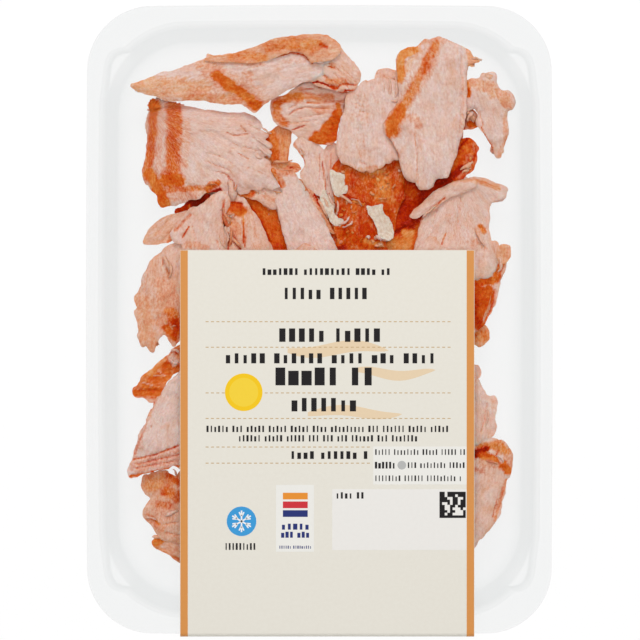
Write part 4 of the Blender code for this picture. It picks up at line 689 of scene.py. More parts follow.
# Shreds torn loose between the flakes: three points along each, half width, height of its top over the
# tray's base, thickness, and its shares of peach, glaze and darkness
SHREDS = (
    (-27.2, 42.4, -26.6, 39.4, -26, 36.1, 1.02, 12.6, 2, 0.4, 0.1, 0.3),
    (43.9, 63.2, 45.4, 62.3, 47.5, 60.5, 1.08, 11.4, 2, 0.5, 0.45, 0.3),
    (-25.1, 41.2, -25.4, 39.1, -26.6, 36.7, 0.36, 12.4, 1.2, 0.6, 0.5, 0.5),
    (5.3, 37.6, 7.7, 37, 10.1, 35.2, 0.36, 11.6, 1.1, 0.4, 0.2, 0.1),
    (9.8, 36.4, 11.6, 36.1, 12.8, 34.5, 0.27, 11.8, 1, 0.4, 0.2, 0.1),
    (5.9, 28.8, 8, 29.7, 9.2, 31.5, 0.27, 12, 1, 0.1, 0, 0.1),
    (7.1, 28.2, 9.2, 28.8, 10.4, 30, 0.24, 11.6, 0.9, 0.1, 0, 0.1),
    (17.1, 25.2, 18, 24.9, 18.9, 24.3, 0.48, 11.8, 1.2, 0.2, 0.1, 0.1),
    (14.4, 24.6, 14.8, 24.8, 15.3, 24.5, 0.45, 11.6, 1.3, 0.2, 0.05, 0.1),
    (16.8, 23.1, 18, 22.5, 19.2, 23.1, 0.45, 10.9, 1.2, 0.5, 0.45, 0.2),
    (19.2, 24.6, 20.4, 24, 21.6, 24.3, 0.27, 11, 1, 0.3, 0.2, 0.1),
    (42.7, 45.4, 44.8, 46.6, 46.6, 48.1, 0.39, 12.2, 1.2, 0.6, 0.3, 0.12),
    (43, 44.2, 44.2, 45.1, 46, 45.7, 0.3, 11.6, 1, 0.6, 0.4, 0.2),
    (31.2, 30.9, 33.3, 33, 35.7, 34.8, 0.39, 12.2, 1.2, 0.4, 0.1, 0.1),
    (33.3, 32.1, 34.5, 33.9, 36.9, 35.5, 0.3, 12, 1, 0.5, 0.2, 0.15),
    (20.7, 66.8, 21.6, 69.8, 21, 73.1, 0.54, 15.6, 1.4, 0.35, 0, 0.2),
    (22.5, 66.5, 23.4, 69.8, 22.8, 73.1, 0.51, 15.6, 1.4, 0.4, 0.1, 0.2),
    (18.9, 66.8, 19.5, 69.8, 19.2, 72.8, 0.42, 15.4, 1.3, 0.3, 0, 0.2),
    (21, 66.2, 22.8, 65.9, 24, 67.1, 0.39, 15.2, 1.3, 0.3, 0, 0.2),
    (44.2, 62, 45.7, 64.1, 48.1, 63.8, 0.51, 12.6, 1.3, 0.3, 0, 0.1),
    (48.1, 64.1, 49.6, 62, 49.9, 58.9, 0.45, 10.6, 1.3, 0.4, 0.1, 0.15),
    (44.8, 60.5, 45.7, 62, 46.9, 62.9, 0.39, 12.2, 1.1, 0.3, 0.1, 0.1),
    (-19.7, 55.6, -17.3, 53.8, -15.5, 52, 0.45, 10.8, 1.1, 0.1, 0, 0.2),
    (-20.3, 53.5, -17.3, 51.4, -14.9, 49.3, 0.45, 10.8, 1.1, 0.15, 0, 0.2),
    (-20.9, 51.1, -18.5, 49.6, -17.3, 48.7, 0.39, 10.6, 1, 0.2, 0.1, 0.2),
    (-17.3, 58.3, -15.5, 57.1, -14.3, 56.8, 0.3, 9.6, 0.9, 0.3, 0.2, 0.2),
    (1.4, 77, -0.4, 77.6, -1.9, 77.3, 0.3, 17.6, 0.9, 0.1, 0, 0.1),
    (-14.3, 48.1, -11.2, 48.1, -8.2, 48.7, 0.36, 7.6, 1.2, 0.6, 0.5, 0.25),
    (-13.7, 46, -10.6, 45.7, -7.3, 45.7, 0.36, 7.4, 1.2, 0.6, 0.45, 0.28),
    (-6.7, 52.9, -4.9, 51.1, -4.6, 48.7, 0.36, 9.8, 1.1, 0.5, 0.3, 0.25),
    (0.8, 38.5, 2, 35.5, 3.8, 32.4, 0.42, 9.8, 1.2, 0.3, 0.1, 0.25),
    (-0.4, 37.3, 1.1, 33.9, 2.6, 30.6, 0.36, 9.8, 1.1, 0.5, 0.35, 0.35),
    (2, 39.1, 3.5, 36.7, 4.4, 33.6, 0.33, 9.6, 1.1, 0.3, 0.2, 0.3),
    (4.4, 37.3, 5.6, 34.8, 5, 31.8, 0.33, 9.6, 1.1, 0.2, 0.1, 0.2),
    (-29.3, 33.9, -28.1, 31.2, -27.2, 29.1, 0.45, 12.4, 1.2, 0.6, 0.5, 0.4),
    (-29.3, 32.4, -28.1, 30, -27.5, 27, 0.78, 11.2, 2.2, 0.7, 0.75, 0.45),
    (-28.7, 28.2, -27.8, 25.5, -28.4, 22.2, 0.42, 12.4, 1.2, 0.4, 0.15, 0.3),
    (-27.2, 28.2, -26.6, 25.8, -27.2, 22.2, 0.39, 12.2, 1.2, 0.7, 0.5, 0.35),
    (-26, 24.6, -24.8, 23.1, -23.6, 21.6, 0.39, 12.2, 1.1, 0.6, 0.45, 0.3),
    (-30.2, 25.2, -29.6, 23.4, -28.1, 21.6, 0.36, 12.2, 1.1, 0.4, 0.1, 0.3),
    (-47.7, 19.2, -46.2, 17.4, -45.6, 14.4, 0.48, 11.4, 1.2, 0.5, 0.1, 0.2),
    (-45.6, 17.4, -45, 15, -45.9, 12.6, 0.36, 11.2, 1.1, 0.5, 0.2, 0.25),
    (-55.2, -3.1, -54.3, -5.5, -53.1, -7.3, 0.33, 8.6, 1, 0.6, 0.2, 0.15),
    (-50.4, -9.1, -51, -7, -51.3, -4.3, 0.48, 8.6, 1.2, 0.6, 0.2, 0.15),
    (-45, -9.7, -43.8, -9.1, -42.9, -10.3, 0.33, 10.6, 1, 0.4, 0.1, 0.2),
    (-45.6, -12.1, -44.1, -13, -42.9, -12.4, 0.36, 10.4, 1, 0.2, 0, 0.1),
    (-44.4, -45.3, -43.8, -46.5, -43.2, -47.7, 0.33, 8.6, 1, 0.4, 0.1, 0.1),
    (-53.1, -60.3, -51, -60, -48.6, -61.5, 0.3, 9.8, 1, 0.4, 0.2, 0.3),
    (-47.4, -60, -45.3, -58.8, -42.9, -58.2, 0.36, 10.2, 1.1, 0.4, 0.15, 0.25),
    (-51, -66.4, -49.2, -66.1, -46.8, -66.4, 0.36, 8.6, 1.1, 0.5, 0.3, 0.25),
    (53.8, -41.1, 55, -42, 55.6, -43.5, 0.3, 13.8, 1, 0.1, 0, 0.1),
    (50.2, -42.9, 52.6, -43.2, 54.4, -44.1, 0.3, 13.7, 1, 0.6, 0.5, 0.4),
    (51.1, -26.6, 50.8, -30.2, 49.6, -33.8, 0.3, 12.8, 1.1, 0.4, 0.1, 0.25),
    (53.5, 19.8, 55.3, 17.4, 54.4, 14.4, 0.36, 10.6, 1.1, 0.4, 0.1, 0.2),
    (52, 8.3, 51.4, 4.1, 49.6, -0.1, 0.21, 9.8, 0.8, 0.5, 0.6, 0.35),
    (47.8, 28.2, 48.7, 25.2, 50.2, 22.2, 0.42, 11.8, 1.1, 0.4, 0.2, 0.25),
    (45.4, 78.8, 47.2, 79.1, 49, 78.2, 0.42, 14.8, 1.2, 0.6, 0.2, 0.15),
    (43.6, 77.6, 44.2, 75.2, 43.6, 72.8, 0.39, 15.2, 1.1, 0.5, 0.1, 0.2),
    (49.6, 72.8, 51.4, 73.4, 52.6, 72.2, 0.54, 14.6, 1.2, 0.5, 0.2, 0.15),
    (-42, 40.9, -39, 41.5, -35.9, 40.9, 0.39, 11.4, 1, 0.2, 0.15, 0.2),
    (-34.1, 40.9, -32.6, 41.5, -31.1, 40.9, 0.42, 11.6, 1.1, 0.5, 0.7, 0.35),
    (-52.5, 46.9, -51, 47.5, -49.5, 46.3, 0.39, 10.6, 1, 0.5, 0.6, 0.3),
    (-52.2, 57.1, -51.3, 54.7, -51.9, 51.7, 0.39, 10.4, 1, 0.5, 0.7, 0.35),
    (-48.6, 60.8, -48, 57.1, -48.3, 53.5, 0.33, 11, 0.9, 0.3, 0.1, 0.2),
)
# Crumbs strewn where the flakes tore: the middle and half spans of each patch, how many, the height of
# their tops, and their shares of peach, glaze and darkness
CRUMBS = (
    (18.6, 40.9, 4.2, 4.2, 16, 12, 0.8, 0.9, 0.26), (15.3, 45.7, 7.2, 1.2, 9, 12, 0.7, 0.6, 0.22),
    (7.7, 34.2, 1.8, 3, 4, 11.2, 0.8, 0.8, 0.3), (18.3, 23.4, 3.6, 1.5, 6, 11, 0.6, 0.5, 0.2),
    (-17, 54.1, 1.8, 4.8, 8, 9.6, 0.3, 0.2, 0.3), (-27.5, 28.2, 2.1, 6.6, 12, 12.2, 0.5, 0.4, 0.4),
    (-26.3, 39.7, 1.5, 2.4, 4, 12, 0.5, 0.5, 0.5), (44.5, 65, 0.9, 7.8, 12, 12.6, 0.5, 0.5, 0.35),
    (43.9, 77, 0.9, 3.6, 6, 15, 0.5, 0.2, 0.2), (44.8, 47.5, 2.1, 3, 6, 11.9, 0.8, 0.8, 0.25),
    (-45, -2.5, 2.1, 3.6, 4, 10, 0.6, 0.8, 0.4), (54.4, -41.4, 3.6, 1.8, 8, 13, 0.6, 0.6, 0.35),
    (-48, -60.3, 4.2, 3, 5, 9.5, 0.5, 0.3, 0.3), (-39, 39.7, 6, 1.2, 9, 11, 0.5, 0.6, 0.35),
    (-14.3, 37.9, 4.2, 1.8, 6, 9, 0.5, 0.5, 0.3), (1.7, 35.5, 2.1, 4.8, 9, 9.7, 0.5, 0.4, 0.4),
    (-51, 45.7, 1.8, 2.4, 5, 10.8, 0.5, 0.7, 0.3), (24.3, 37.9, 1.5, 2.4, 4, 10, 0.5, 0.5, 0.3),
    (11.6, 34.2, 3.6, 3, 6, 11.4, 0.8, 0.9, 0.35), (9.2, 25.2, 3.6, 2.4, 6, 11, 0.8, 0.9, 0.4),
    (-1, 70.4, 4.2, 1.5, 6, 11.7, 0.6, 0.6, 0.5),
)


def ripple(x, y, seed):
    """A smooth random field from -1 to 1 with about one bump in each unit, seeded by a number."""
    i, j = np.floor(x), np.floor(y)
    f, g = x - i, y - j
    f, g = f * f * (3 - 2 * f), g * g * (3 - 2 * g)

    def corner(di, dj):
        mixed = np.sin((i + di) * 127.1 + (j + dj) * 311.7 + seed * 74.7) * 43758.5453
        return 2 * (mixed - np.floor(mixed)) - 1

    near, far = (corner(0, back) * (1 - f) + corner(1, back) * f for back in (0, 1))
    return near * (1 - g) + far * g


# What makes the flakes rough: layers of ripples, each with its height, its sizes in millimetres across and
# along, and a seed that the flake's number is added to
fibre_drift = ((0.6, 6, 9, 0),)
torn_bundles = ((0.5, 2.4, 40, 3), (0.4, 1.1, 40, 5))
ragged_rim = ((0.3, 3.5, 3.5, 9), (0.22, 1.2, 1.2, 11))
soft_swell = ((0.42, 7, 7, 13), (0.2, 2.6, 2.6, 15), (0.09, 1.2, 1.2, 16))
bundle_bend = ((2.2, 3.5, 5, 33),)
layer_steps = ((1, 7, 10, 29),)
layer_breaks = ((0.3, 1.6, 4, 31),)
side_waves = ((0.35, 4, 4, 27),)
glaze_stray = ((0.6, 3.4, 3.4, 0), (0.4, 1.3, 1.3, 1), (0.25, 0.6, 0.6, 2))
glaze_feather = ((1, 0.8, 8, 41), (0.5, 2.5, 12, 43))
glaze_crust = ((1, 1, 1, 51), (1, 0.55, 0.55, 53))
shred_twist = ((0.3, 1.1, 1.1, 0),)


def ripples(x, y, number, layers):
    """The layers of ripples at places, added up."""
    return sum(height * ripple(x / wide, y / long, number + seed) for height, wide, long, seed in layers)


def through(a, b, c, d, f):
    """The point at f on the smooth curve from b to c, with a and d as its neighbours."""
    return b + 0.5 * f * (c - a + f * (2 * a - 5 * b + 4 * c - d + f * (3 * (b - c) + d - a)))


def smoothed(b):
    """A closed smooth curve through an outline's points."""
    a, c, d = np.roll(b, 1, 0), np.roll(b, -1, 0), np.roll(b, -2, 0)
    return np.stack([through(a, b, c, d, f) for f in (0.0, 0.25, 0.5, 0.75)], 1).reshape(-1, 2)


def spine_outline(tail, head, left, right, bow, stations=22, power=7):
    """Outline round a bent spine with half widths at five even stations."""
    tail, head = np.array(tail), np.array(head)
    along = head - tail
    across = np.array((-along[1], along[0])) / np.hypot(*along)
    points = []
    for step in range(stations):
        turn = 2 * math.pi * (step + 0.5) / stations
        side, widths = (1, left) if turn < math.pi else (-1, right)
        lengthwise = math.cos(turn)
        sideways = (1 - abs(lengthwise) ** power) ** (1 / power)
        t = 0.5 + 0.5 * lengthwise
        i = min(int(4 * t), 3)
        reach = through(widths[max(i - 1, 0)], widths[i], widths[i + 1], widths[min(i + 2, 4)], 4 * t - i)
        points.append(tail + t * along + across * (4 * t * (1 - t) * bow + side * reach * sideways))
    return np.array(points)


def hidden_flakes():
    """Rows of the second kind for the salmon under the label, drawn round a lattice of places."""
    draw = random.Random(11)
    for i, y in enumerate((8.0, -10.0, -28.0, -46.0, -62.0)):
        for j, x in enumerate((-27.0, -9.0, 9.0, 27.0)):
            turn = draw.uniform(-math.pi / 3, math.pi / 3)
            half = 0.5 * draw.uniform(26.0, 36.0)
            width = draw.uniform(7.5, 10.0)
            thick = draw.uniform(7.0, 9.0)
            middle = Vector((x + draw.uniform(-2.0, 2.0), y + draw.uniform(-2.0, 2.0)))
            half = min(half, (39.0 - abs(middle.x)) / math.cos(turn))
            reach = Vector((math.cos(turn), math.sin(turn))) * half
            left, right = ([width * draw.uniform(0.5, 1.0) for station in range(5)] for side in range(2))
            low = (0.3, 4.6)[(i + j) % 2]
            glaze = ((i * 4 + j) * 7 % 5) / 5
            yield (f"hidden_{i}_{j}", tuple(middle - reach), tuple(middle + reach), left, right, low, thick,
                   1.0, 0.5, 0.8, math.degrees(turn), 1.2, 0.35, 0.9 * glaze * glaze, 0.45)


def from_spine(row):
    """A row of the second kind as a flake."""
    name, tail, head, left, right, low, thick, bow, climb, arch, *finish = row
    along = Vector(head) - Vector(tail)
    lean = along * (10 * climb / along.length_squared)
    outline = spine_outline(tail, head, left, right, bow)
    return Flake(name, outline, low, thick, lean.x, lean.y, arch, 2.0, *finish)


def to_edge(points, outline):
    """How far each point is inside a closed outline, and the way out at the nearest edge."""
    following = np.roll(outline, -1, 0)
    run = following - outline
    turning = np.sign(np.sum(outline[:, 0] * following[:, 1] - outline[:, 1] * following[:, 0]))
    outward = np.stack((run[:, 1], -run[:, 0]), 1) * turning / np.hypot(run[:, 0], run[:, 1])[:, None]
    best = np.full(len(points), 1e9)
    nearest = np.zeros(len(points), int)
    crossed = np.zeros(len(points), int)
    for i, (start, way) in enumerate(zip(outline, run)):
        from_start = points - start
        share = np.clip(from_start @ way / max(way @ way, 1e-9), 0.0, 1.0)
        away = np.hypot(*(from_start - share[:, None] * way).T)
        nearest = np.where(away < best, i, nearest)
        best = np.minimum(best, away)
        if way[1]:
            spans = (start[1] > points[:, 1]) != (start[1] + way[1] > points[:, 1])
            crossed += spans & (from_start[:, 0] < way[0] * from_start[:, 1] / way[1])
    return np.where(crossed % 2 == 1, best, -best), outward[nearest]


def cavity_inset(height):
    """How far the cavity's wall stands in from the mouth at a height over the tray's base."""
    drop = np.clip(foot_radius - height, 0.0, foot_radius)
    rounded = foot_inset - np.sqrt(foot_radius**2 - drop**2)
    sloped = (cavity_depth - height) * math.tan(draft)
    return np.where(height >= foot_radius * (1 - math.sin(draft)), sloped, rounded)


def kept_inside(x, y, z):
    """The points, moved in where they would stand too near to the tray or the film."""
    z = np.clip(z, base_top + floor_gap, flange_top - headroom)
    inset = cavity_inset(z - base_top) + salmon_clearance
    half_x, half_y, corner = (size - inset for size in mouth_outline)
    past_x = np.maximum(abs(x) - half_x + corner, 0.0)
    past_y = np.maximum(abs(y) - half_y + corner, 0.0)
    past = np.hypot(past_x, past_y)
    cut = np.where(past > corner, 1 - corner / np.maximum(past, 1e-6), 0.0)
    return x - np.sign(x) * past_x * cut, y - np.sign(y) * past_y * cut, z


def fibre_place(points, fibre, number):
    """Fibre direction at each point, with distances across and along the fibres."""
    if isinstance(fibre, tuple):
        from_centre = points - np.array(fibre)
        along = np.hypot(from_centre[:, 0], from_centre[:, 1])
        way = from_centre / np.maximum(along, 1e-6)[:, None]
        across = 28.0 * np.arctan2(from_centre[:, 1], from_centre[:, 0])
    else:
        way = np.tile((math.cos(math.radians(fibre)), math.sin(math.radians(fibre))), (len(points), 1))
        along = (points * way).sum(1)
        across = points[:, 1] * way[:, 0] - points[:, 0] * way[:, 1]
    return way, across + ripples(across, along, number, fibre_drift), along


def torn_edge(points, flake, number):
    """How far each point is inside a flake's torn outline, the way out, and its fibre place."""
    inside, outward = to_edge(points, smoothed(flake.outline))
    way, across, along = fibre_place(points, flake.fibre, number)
    ragged = flake.torn * ripples(across, along, number, torn_bundles) * abs((outward * way).sum(1))
    ragged = ragged + ripples(*points.T, number, ragged_rim)
    return inside + overlap - ragged * np.exp(-abs(inside) / 2.0), outward, across, along


def cells_kept(inside):
    """The cells of a lattice inside the outline: one connected region that touches itself at no corner."""
    keep = inside > 0
    for tidy in range(3):
        near = np.zeros(keep.shape, int)
        near[1:] += keep[:-1]
        near[:-1] += keep[1:]
        near[:, 1:] += keep[:, :-1]
        near[:, :-1] += keep[:, 1:]
        keep &= near >= 2
        a, b, c, d = keep[:-1, :-1], keep[1:, :-1], keep[:-1, 1:], keep[1:, 1:]
        one, other = a & d & ~b & ~c, b & c & ~a & ~d
        keep[1:, :-1] |= one
        keep[:-1, :-1] |= other
    region = np.zeros(keep.shape, bool)
    region.flat[np.argmax(np.where(keep, inside, -1e9))] = True
    size = 0
    while region.sum() > size:
        size = region.sum()
        for sweep in range(8):
            region[1:] |= region[:-1] & keep[1:]
            region[:-1] |= region[1:] & keep[:-1]
            region[:, 1:] |= region[:, :-1] & keep[:, 1:]
            region[:, :-1] |= region[:, 1:] & keep[:, :-1]
    return region


def flake_sheet(flake, spacing, number, margin=2.0):
    """A closed sheet of cells in a flake's torn outline, with a level for each ring of its side."""
    low, high = flake.outline.min(0) - margin, flake.outline.max(0) + margin
    counts = np.ceil((high - low) / spacing).astype(int)
    span = high - low
    centres = [low[axis] + (np.arange(counts[axis]) + 0.5) * span[axis] / counts[axis] for axis in (0, 1)]
    right, back = np.meshgrid(*centres, indexing="ij")
    inside = torn_edge(np.stack((right.ravel(), back.ravel()), 1), flake, number)[0].reshape(right.shape)
    keep = cells_kept(inside)
    bm = bmesh.new()
    level = bm.verts.layers.int.new("level")
    bmesh.ops.create_grid(bm, x_segments=int(counts[0]), y_segments=int(counts[1]), size=1.0)
    dropped = []
    for face in bm.faces:
        centre = face.calc_center_median()
        if not keep[tuple(int((centre[axis] + 1) / 2 * counts[axis]) for axis in (0, 1))]:
            dropped.append(face)
    bmesh.ops.delete(bm, geom=dropped, context="FACES")
    for vert in bm.verts:
        vert.co = (*(low + (np.array(vert.co.xy) + 1) / 2 * span), 0.0)
    rim = [vert for vert in bm.verts if vert.is_boundary]
    places = np.array([vert.co.xy for vert in rim])
    gap, outward, _, _ = torn_edge(places, flake, number)
    moved = places + outward * np.clip(gap, -0.5 * spacing, 0.5 * spacing)[:, None]
    for vert, place in zip(rim, moved):
        vert.co.xy = place
    top = bm.faces[:]
    for rise in range(1, rim_levels + 1):
        below = top
        made = bmesh.ops.extrude_face_region(bm, geom=below, use_keep_orig=True)["geom"]
        top = [item for item in made if isinstance(item, bmesh.types.BMFace)]
        for vert in new_verts(made):
            vert[level] = rise
        if rise > 1:
            bmesh.ops.delete(bm, geom=below, context="FACES")
    mesh = bpy.data.meshes.new("sheet")
    bm.to_mesh(mesh)
    bm.free()
    return mesh


def glazed(flake, number, x, y, across, along, crack=0.75):
    """Glaze strength and darkness at a flake's points, and how deep a crack or a crust stands there."""
    strength, tone, relief = (np.full(len(x), float(share)) for share in (flake.glaze, flake.dark, 0.0))
    stray_x, stray_y = (ripples(x, y, number + seed, glaze_stray) for seed in (25, 45))
    feather = ripples(across, along, number, glaze_feather)
    for *line, radius, amount, darkness in STROKES.get(flake.name, ()):
        stray = min(1.0, radius / 2.4)
        away = np.full(len(x), 1e9)
        points = np.array(line).reshape(-1, 2)
        for start, end in zip(points, points[1:]):
            right, back = x + stray * stray_x - start[0], y + stray * stray_y - start[1]
            run = end - start
            share = np.clip((right * run[0] + back * run[1]) / max(run @ run, 1e-6), 0.0, 1.0)
            away = np.minimum(away, np.hypot(right - run[0] * share, back - run[1] * share))
        away = away + 0.12 * radius * feather
        cover = np.clip((radius * 1.4 - away) / (radius * 0.85 + 0.1), 0.0, 1.0)
        cover = cover * cover * (3 - 2 * cover)
        if amount < 0:
            strength = strength * (1 + amount * cover)
        else:
            tone = tone + (darkness - tone) * cover
            strength = np.maximum(strength, amount * cover)
            if radius < crack:
                relief = relief - 0.5 * cover
    crust = np.clip(strength - 0.4, 0.0, 0.6) * ripples(x, y, number, glaze_crust)
    return strength, tone, relief + 0.35 * crust


def shaped(flake, number, plan, level, edge=0.93, crevice_shade_tone=0.42):
    """Place, fibre coordinates and colour shares of a flake's points, from their plan places and levels."""
    gap, outward, across, along = torn_edge(plan, flake, number)
    between = (level > 0) & (level < rim_levels)
    gap = np.where(between, 0.0, np.maximum(gap, 0.0))
    x, y = plan.T
    share = np.clip(gap / min(flake.round_over, 0.8 * flake.thick), 0.0, 1.0)
    rise = edge + (1 - edge) * share * (2 - share)
    swell = ripples(x, y, number, soft_swell)
    broad = ripple(across / 2.4, along / 9, number + 17)
    fine = ripple(across / 0.95, along / 4, number + 19)
    groove = 0.14 * (1 - abs(broad)) ** 5 + 0.08 * (1 - abs(fine)) ** 3
    bent = across + ripples(across, along, number, bundle_bend)
    layer = ripples(bent, along, number, layer_steps) + ripples(across, along, number, layer_breaks)
    ledge = 0.2 * np.tanh(layer / 0.09)
    split = np.clip(ripple(across / 3, along / 13, number + 21) - 0.3, 0.0, 1.0)
    split = split * np.exp(-gap / 4.0) * flake.torn
    strength, tone, relief = glazed(flake, number, x, y, across, along)
    domed = flake.dome * (1 - np.exp(-gap / 5.0))
    surface = (ledge - groove - 0.8 * split + relief) * share
    top = flake.low + 0.45 * flake.thick + 0.55 * flake.thick * rise + swell + domed + surface
    bottom = flake.low + 0.2 * flake.thick * np.exp(-gap / 1.8) + 0.3 * swell
    lift = level / rim_levels
    middle = flake.outline.mean(0)
    climb = 0.1 * (flake.climb_right * (x - middle[0]) + flake.climb_back * (y - middle[1]))
    z = bottom + (top - bottom) * lift + climb
    undercut = min(1.0, 0.3 * gap.max()) * (0.6 + 1.7 * (1 - lift)) * (1 - lift)
    undercut = undercut * np.exp(-((gap / 3.0) ** 2)) * (1 + ripples(along, across, number, side_waves))
    torn_side = 0.3 * ripple((x + y) / 2.5, z / 1.5 + (x - y) / 5, number + 23)
    torn_side = torn_side + 0.22 * ripple((x - y) / 1.1, z / 0.8, number + 24)
    bulge = np.where(between, -abs(torn_side), 0.0) - undercut
    x, y = x + outward[:, 0] * bulge, y + outward[:, 1] * bulge
    x, y, z = kept_inside(x, y, base_top + z)

    # Painted shade: the flakes' sides take an orange-brown glaze colour, laid on more fully towards their
    # bottoms, for the warm shade in the crevices between flakes.
    side = level < rim_levels
    cut = np.clip(0.36 + 0.5 * ripple((x + y) / 5, z / 1.6, number + 61), 0.0, 1.0)
    side_shade_cover = np.maximum(strength * lift + cut * (1 - lift), 0.25 - 0.1 * lift)
    strength = np.where(side, side_shade_cover, strength)
    side_shade_tone = np.where(tone < 0.3, 0.4, tone * lift + crevice_shade_tone * (1 - lift))
    tone = np.where(side, side_shade_tone, tone)
    # Rim share: painted shade, highest at the flake's edge and along its layer steps, where the crevices lie.
    rim = 0.42 * np.exp(-gap / 0.3) + 0.3 * np.exp(-((layer / 0.06) ** 2))
    depth = number * 9.7 + 0.7 * (1 - lift) * flake.thick
    return (x, y, z), (across, along, depth), flake.peach, strength, tone, rim


def points_of(mesh):
    """The places of a mesh's points."""
    points = np.empty(len(mesh.vertices) * 3, np.float32)
    mesh.vertices.foreach_get("co", points)
    return points.reshape(-1, 3).astype(float)


def add_salmon(bm, mesh, place, fibre, peach, glaze, dark, rim):
    """The mesh joined to a bmesh, at its points' places and with what its material reads."""
    mesh.vertices.foreach_set("co", np.stack(place, 1).astype(np.float32).ravel())
    fibres = mesh.attributes.new("fibre", "FLOAT_VECTOR", "POINT")
    fibres.data.foreach_set("vector", np.stack(fibre, 1).astype(np.float32).ravel())
    for kind, values in (("peach", peach), ("glaze", glaze), ("dark", dark), ("rim", rim)):
        values = np.broadcast_to(values, len(mesh.vertices))
        mesh.attributes.new(kind, "FLOAT", "POINT").data.foreach_set("value", values.astype(np.float32))
    bm.from_mesh(mesh)
    bpy.data.meshes.remove(mesh)


def make_flakes(name, flakes, spacing, material, first_number, replaces=None):
    """One piece of many flakes."""
    bm = bmesh.new()
    for number, flake in enumerate(flakes, first_number):
        mesh = flake_sheet(flake, spacing, number)
        plan, level = points_of(mesh)[:, :2], np.empty(len(mesh.vertices), np.int32)
        mesh.attributes["level"].data.foreach_get("value", level)
        mesh.attributes.remove(mesh.attributes["level"])
        add_salmon(bm, mesh, *shaped(flake, number, plan, level.astype(float)))
    finish_piece(name, bm, material, replaces, sharp=60.0)


def crumb_rows():
    """Rows like those of the shreds, short and strewn at random over each patch."""
    draw = random.Random(5)
    for x, y, reach_x, reach_y, count, top, peach, glaze, dark in CRUMBS:
        for _ in range(count):
            middle = np.array((draw.gauss(x, 0.5 * reach_x), draw.gauss(y, 0.5 * reach_y)))
            turn, half = draw.uniform(0, math.pi), draw.uniform(0.3, 0.8)
            tip = half * np.array((math.cos(turn), math.sin(turn)))
            bend = half * draw.uniform(-0.5, 0.5) * np.array((-math.sin(turn), math.cos(turn)))
            shares = [draw.uniform(0.3, 1.5) * share for share in (peach, glaze, dark)]
            half_width, drop = draw.uniform(0.2, 0.4), draw.uniform(-0.9, -0.1)
            line = (*(middle - tip), *(middle + bend), *(middle + tip))
            yield (*line, half_width, top + drop, 0.8, *shares)


def make_shreds(name, rows, rings, material, first_number):
    """One piece of small spindles, each bent along its three points."""
    bm = bmesh.new()
    for number, (*line, half, top, thick, peach, glaze, dark) in enumerate(rows, first_number):
        ball = bmesh.new()
        bmesh.ops.create_uvsphere(ball, u_segments=8, v_segments=rings, radius=1.0)
        mesh = bpy.data.meshes.new("shred")
        ball.to_mesh(mesh)
        ball.free()
        sideways, upward, lengthwise = points_of(mesh).T
        start, middle, end = np.array(line).reshape(3, 2)
        length = np.hypot(*(end - start))
        share = 0.5 + 0.5 * np.sin(0.5 * np.pi * lengthwise)
        t = share[:, None]
        bend = 2 * middle - 0.5 * (start + end)
        curve = (1 - t) ** 2 * start + 2 * t * (1 - t) * bend + t**2 * end
        way = (1 - t) * (bend - start) + t * (end - bend)
        way = way / np.hypot(way[:, 0], way[:, 1])[:, None]
        reach = half * (1.15 + 0.6 * ripple(5 * share, 0 * share, number))
        place = curve + np.stack((-way[:, 1], way[:, 0]), 1) * (sideways * reach)[:, None]
        place = place + np.stack([ripples(*place.T, number + seed, shred_twist) for seed in (3, 5)], 1)
        z = top + 0.5 * thick * (upward - 1) - min(1.2, length / 4) * (2 * share - 1) ** 2
        fibre = half * sideways, length * share, np.full(len(share), 7.3 * number)
        place = kept_inside(*place.T, base_top + z)
        # The rim share paints shade along each shred's sides.
        add_salmon(bm, mesh, place, fibre, peach, glaze, dark, abs(sideways) ** 4)
    finish_piece(name, bm, material, sharp=60.0)


def computed(nodes, links, operation, *values):
    """The result of a sum on sockets and plain values."""
    node = nodes.new("ShaderNodeMath")
    node.operation = operation
    for socket, value in zip(node.inputs, values):
        feed(links, socket, value)
    return node.outputs["Value"]


def fish_grain():
    """Group: streaks, clouds and relief along the fibres, from fibre coordinates in millimetres."""
    kinds = dict.fromkeys(("Streak", "Cloud", "Speck", "Height"), "Float")
    group, nodes, links, given, result = new_group("fish grain", {"Fibre": "Vector"}, kinds)
    noises = {}
    for name, stretch, rough in (("Streak", (1.5, 0.32, 1.0), 0.6), ("Cloud", (0.3, 0.17, 1.0), 0.6),
                                 ("Speck", (1.7, 1.1, 1.0), 0.65)):
        scale = nodes.new("ShaderNodeVectorMath")
        scale.operation = "MULTIPLY"
        scale.inputs[1].default_value = stretch
        links.new(given["Fibre"], scale.inputs[0])
        noise = nodes.new("ShaderNodeTexNoise")
        set_inputs(noise, {"Scale": 1.0, "Detail": 4.0, "Roughness": rough})
        links.new(scale.outputs["Vector"], noise.inputs["Vector"])
        noises[name] = noise.outputs["Fac"]
        links.new(noises[name], result[name])
    specks = computed(nodes, links, "MULTIPLY", noises["Speck"], 0.7)
    links.new(computed(nodes, links, "MULTIPLY_ADD", noises["Streak"], 0.5, specks), result["Height"])
    return group


grain_group = fish_grain()


def attribute(nodes, name, output="Fac"):
    """What a point of the mesh carries under a name."""
    node = nodes.new("ShaderNodeAttribute")
    node.attribute_name = name
    return node.outputs[output]


def grained(nodes, links, strength, distance):
    """Places the grain in a material, feeds its relief to the shader and gives back its outputs."""
    grain = nodes.new("ShaderNodeGroup")
    grain.node_tree = grain_group
    links.new(attribute(nodes, "fibre", "Vector"), grain.inputs["Fibre"])
    normal = raised_by(nodes, links, grain.outputs["Height"], strength, distance)
    links.new(normal, nodes["Principled BSDF"].inputs["Normal"])
    return grain.outputs


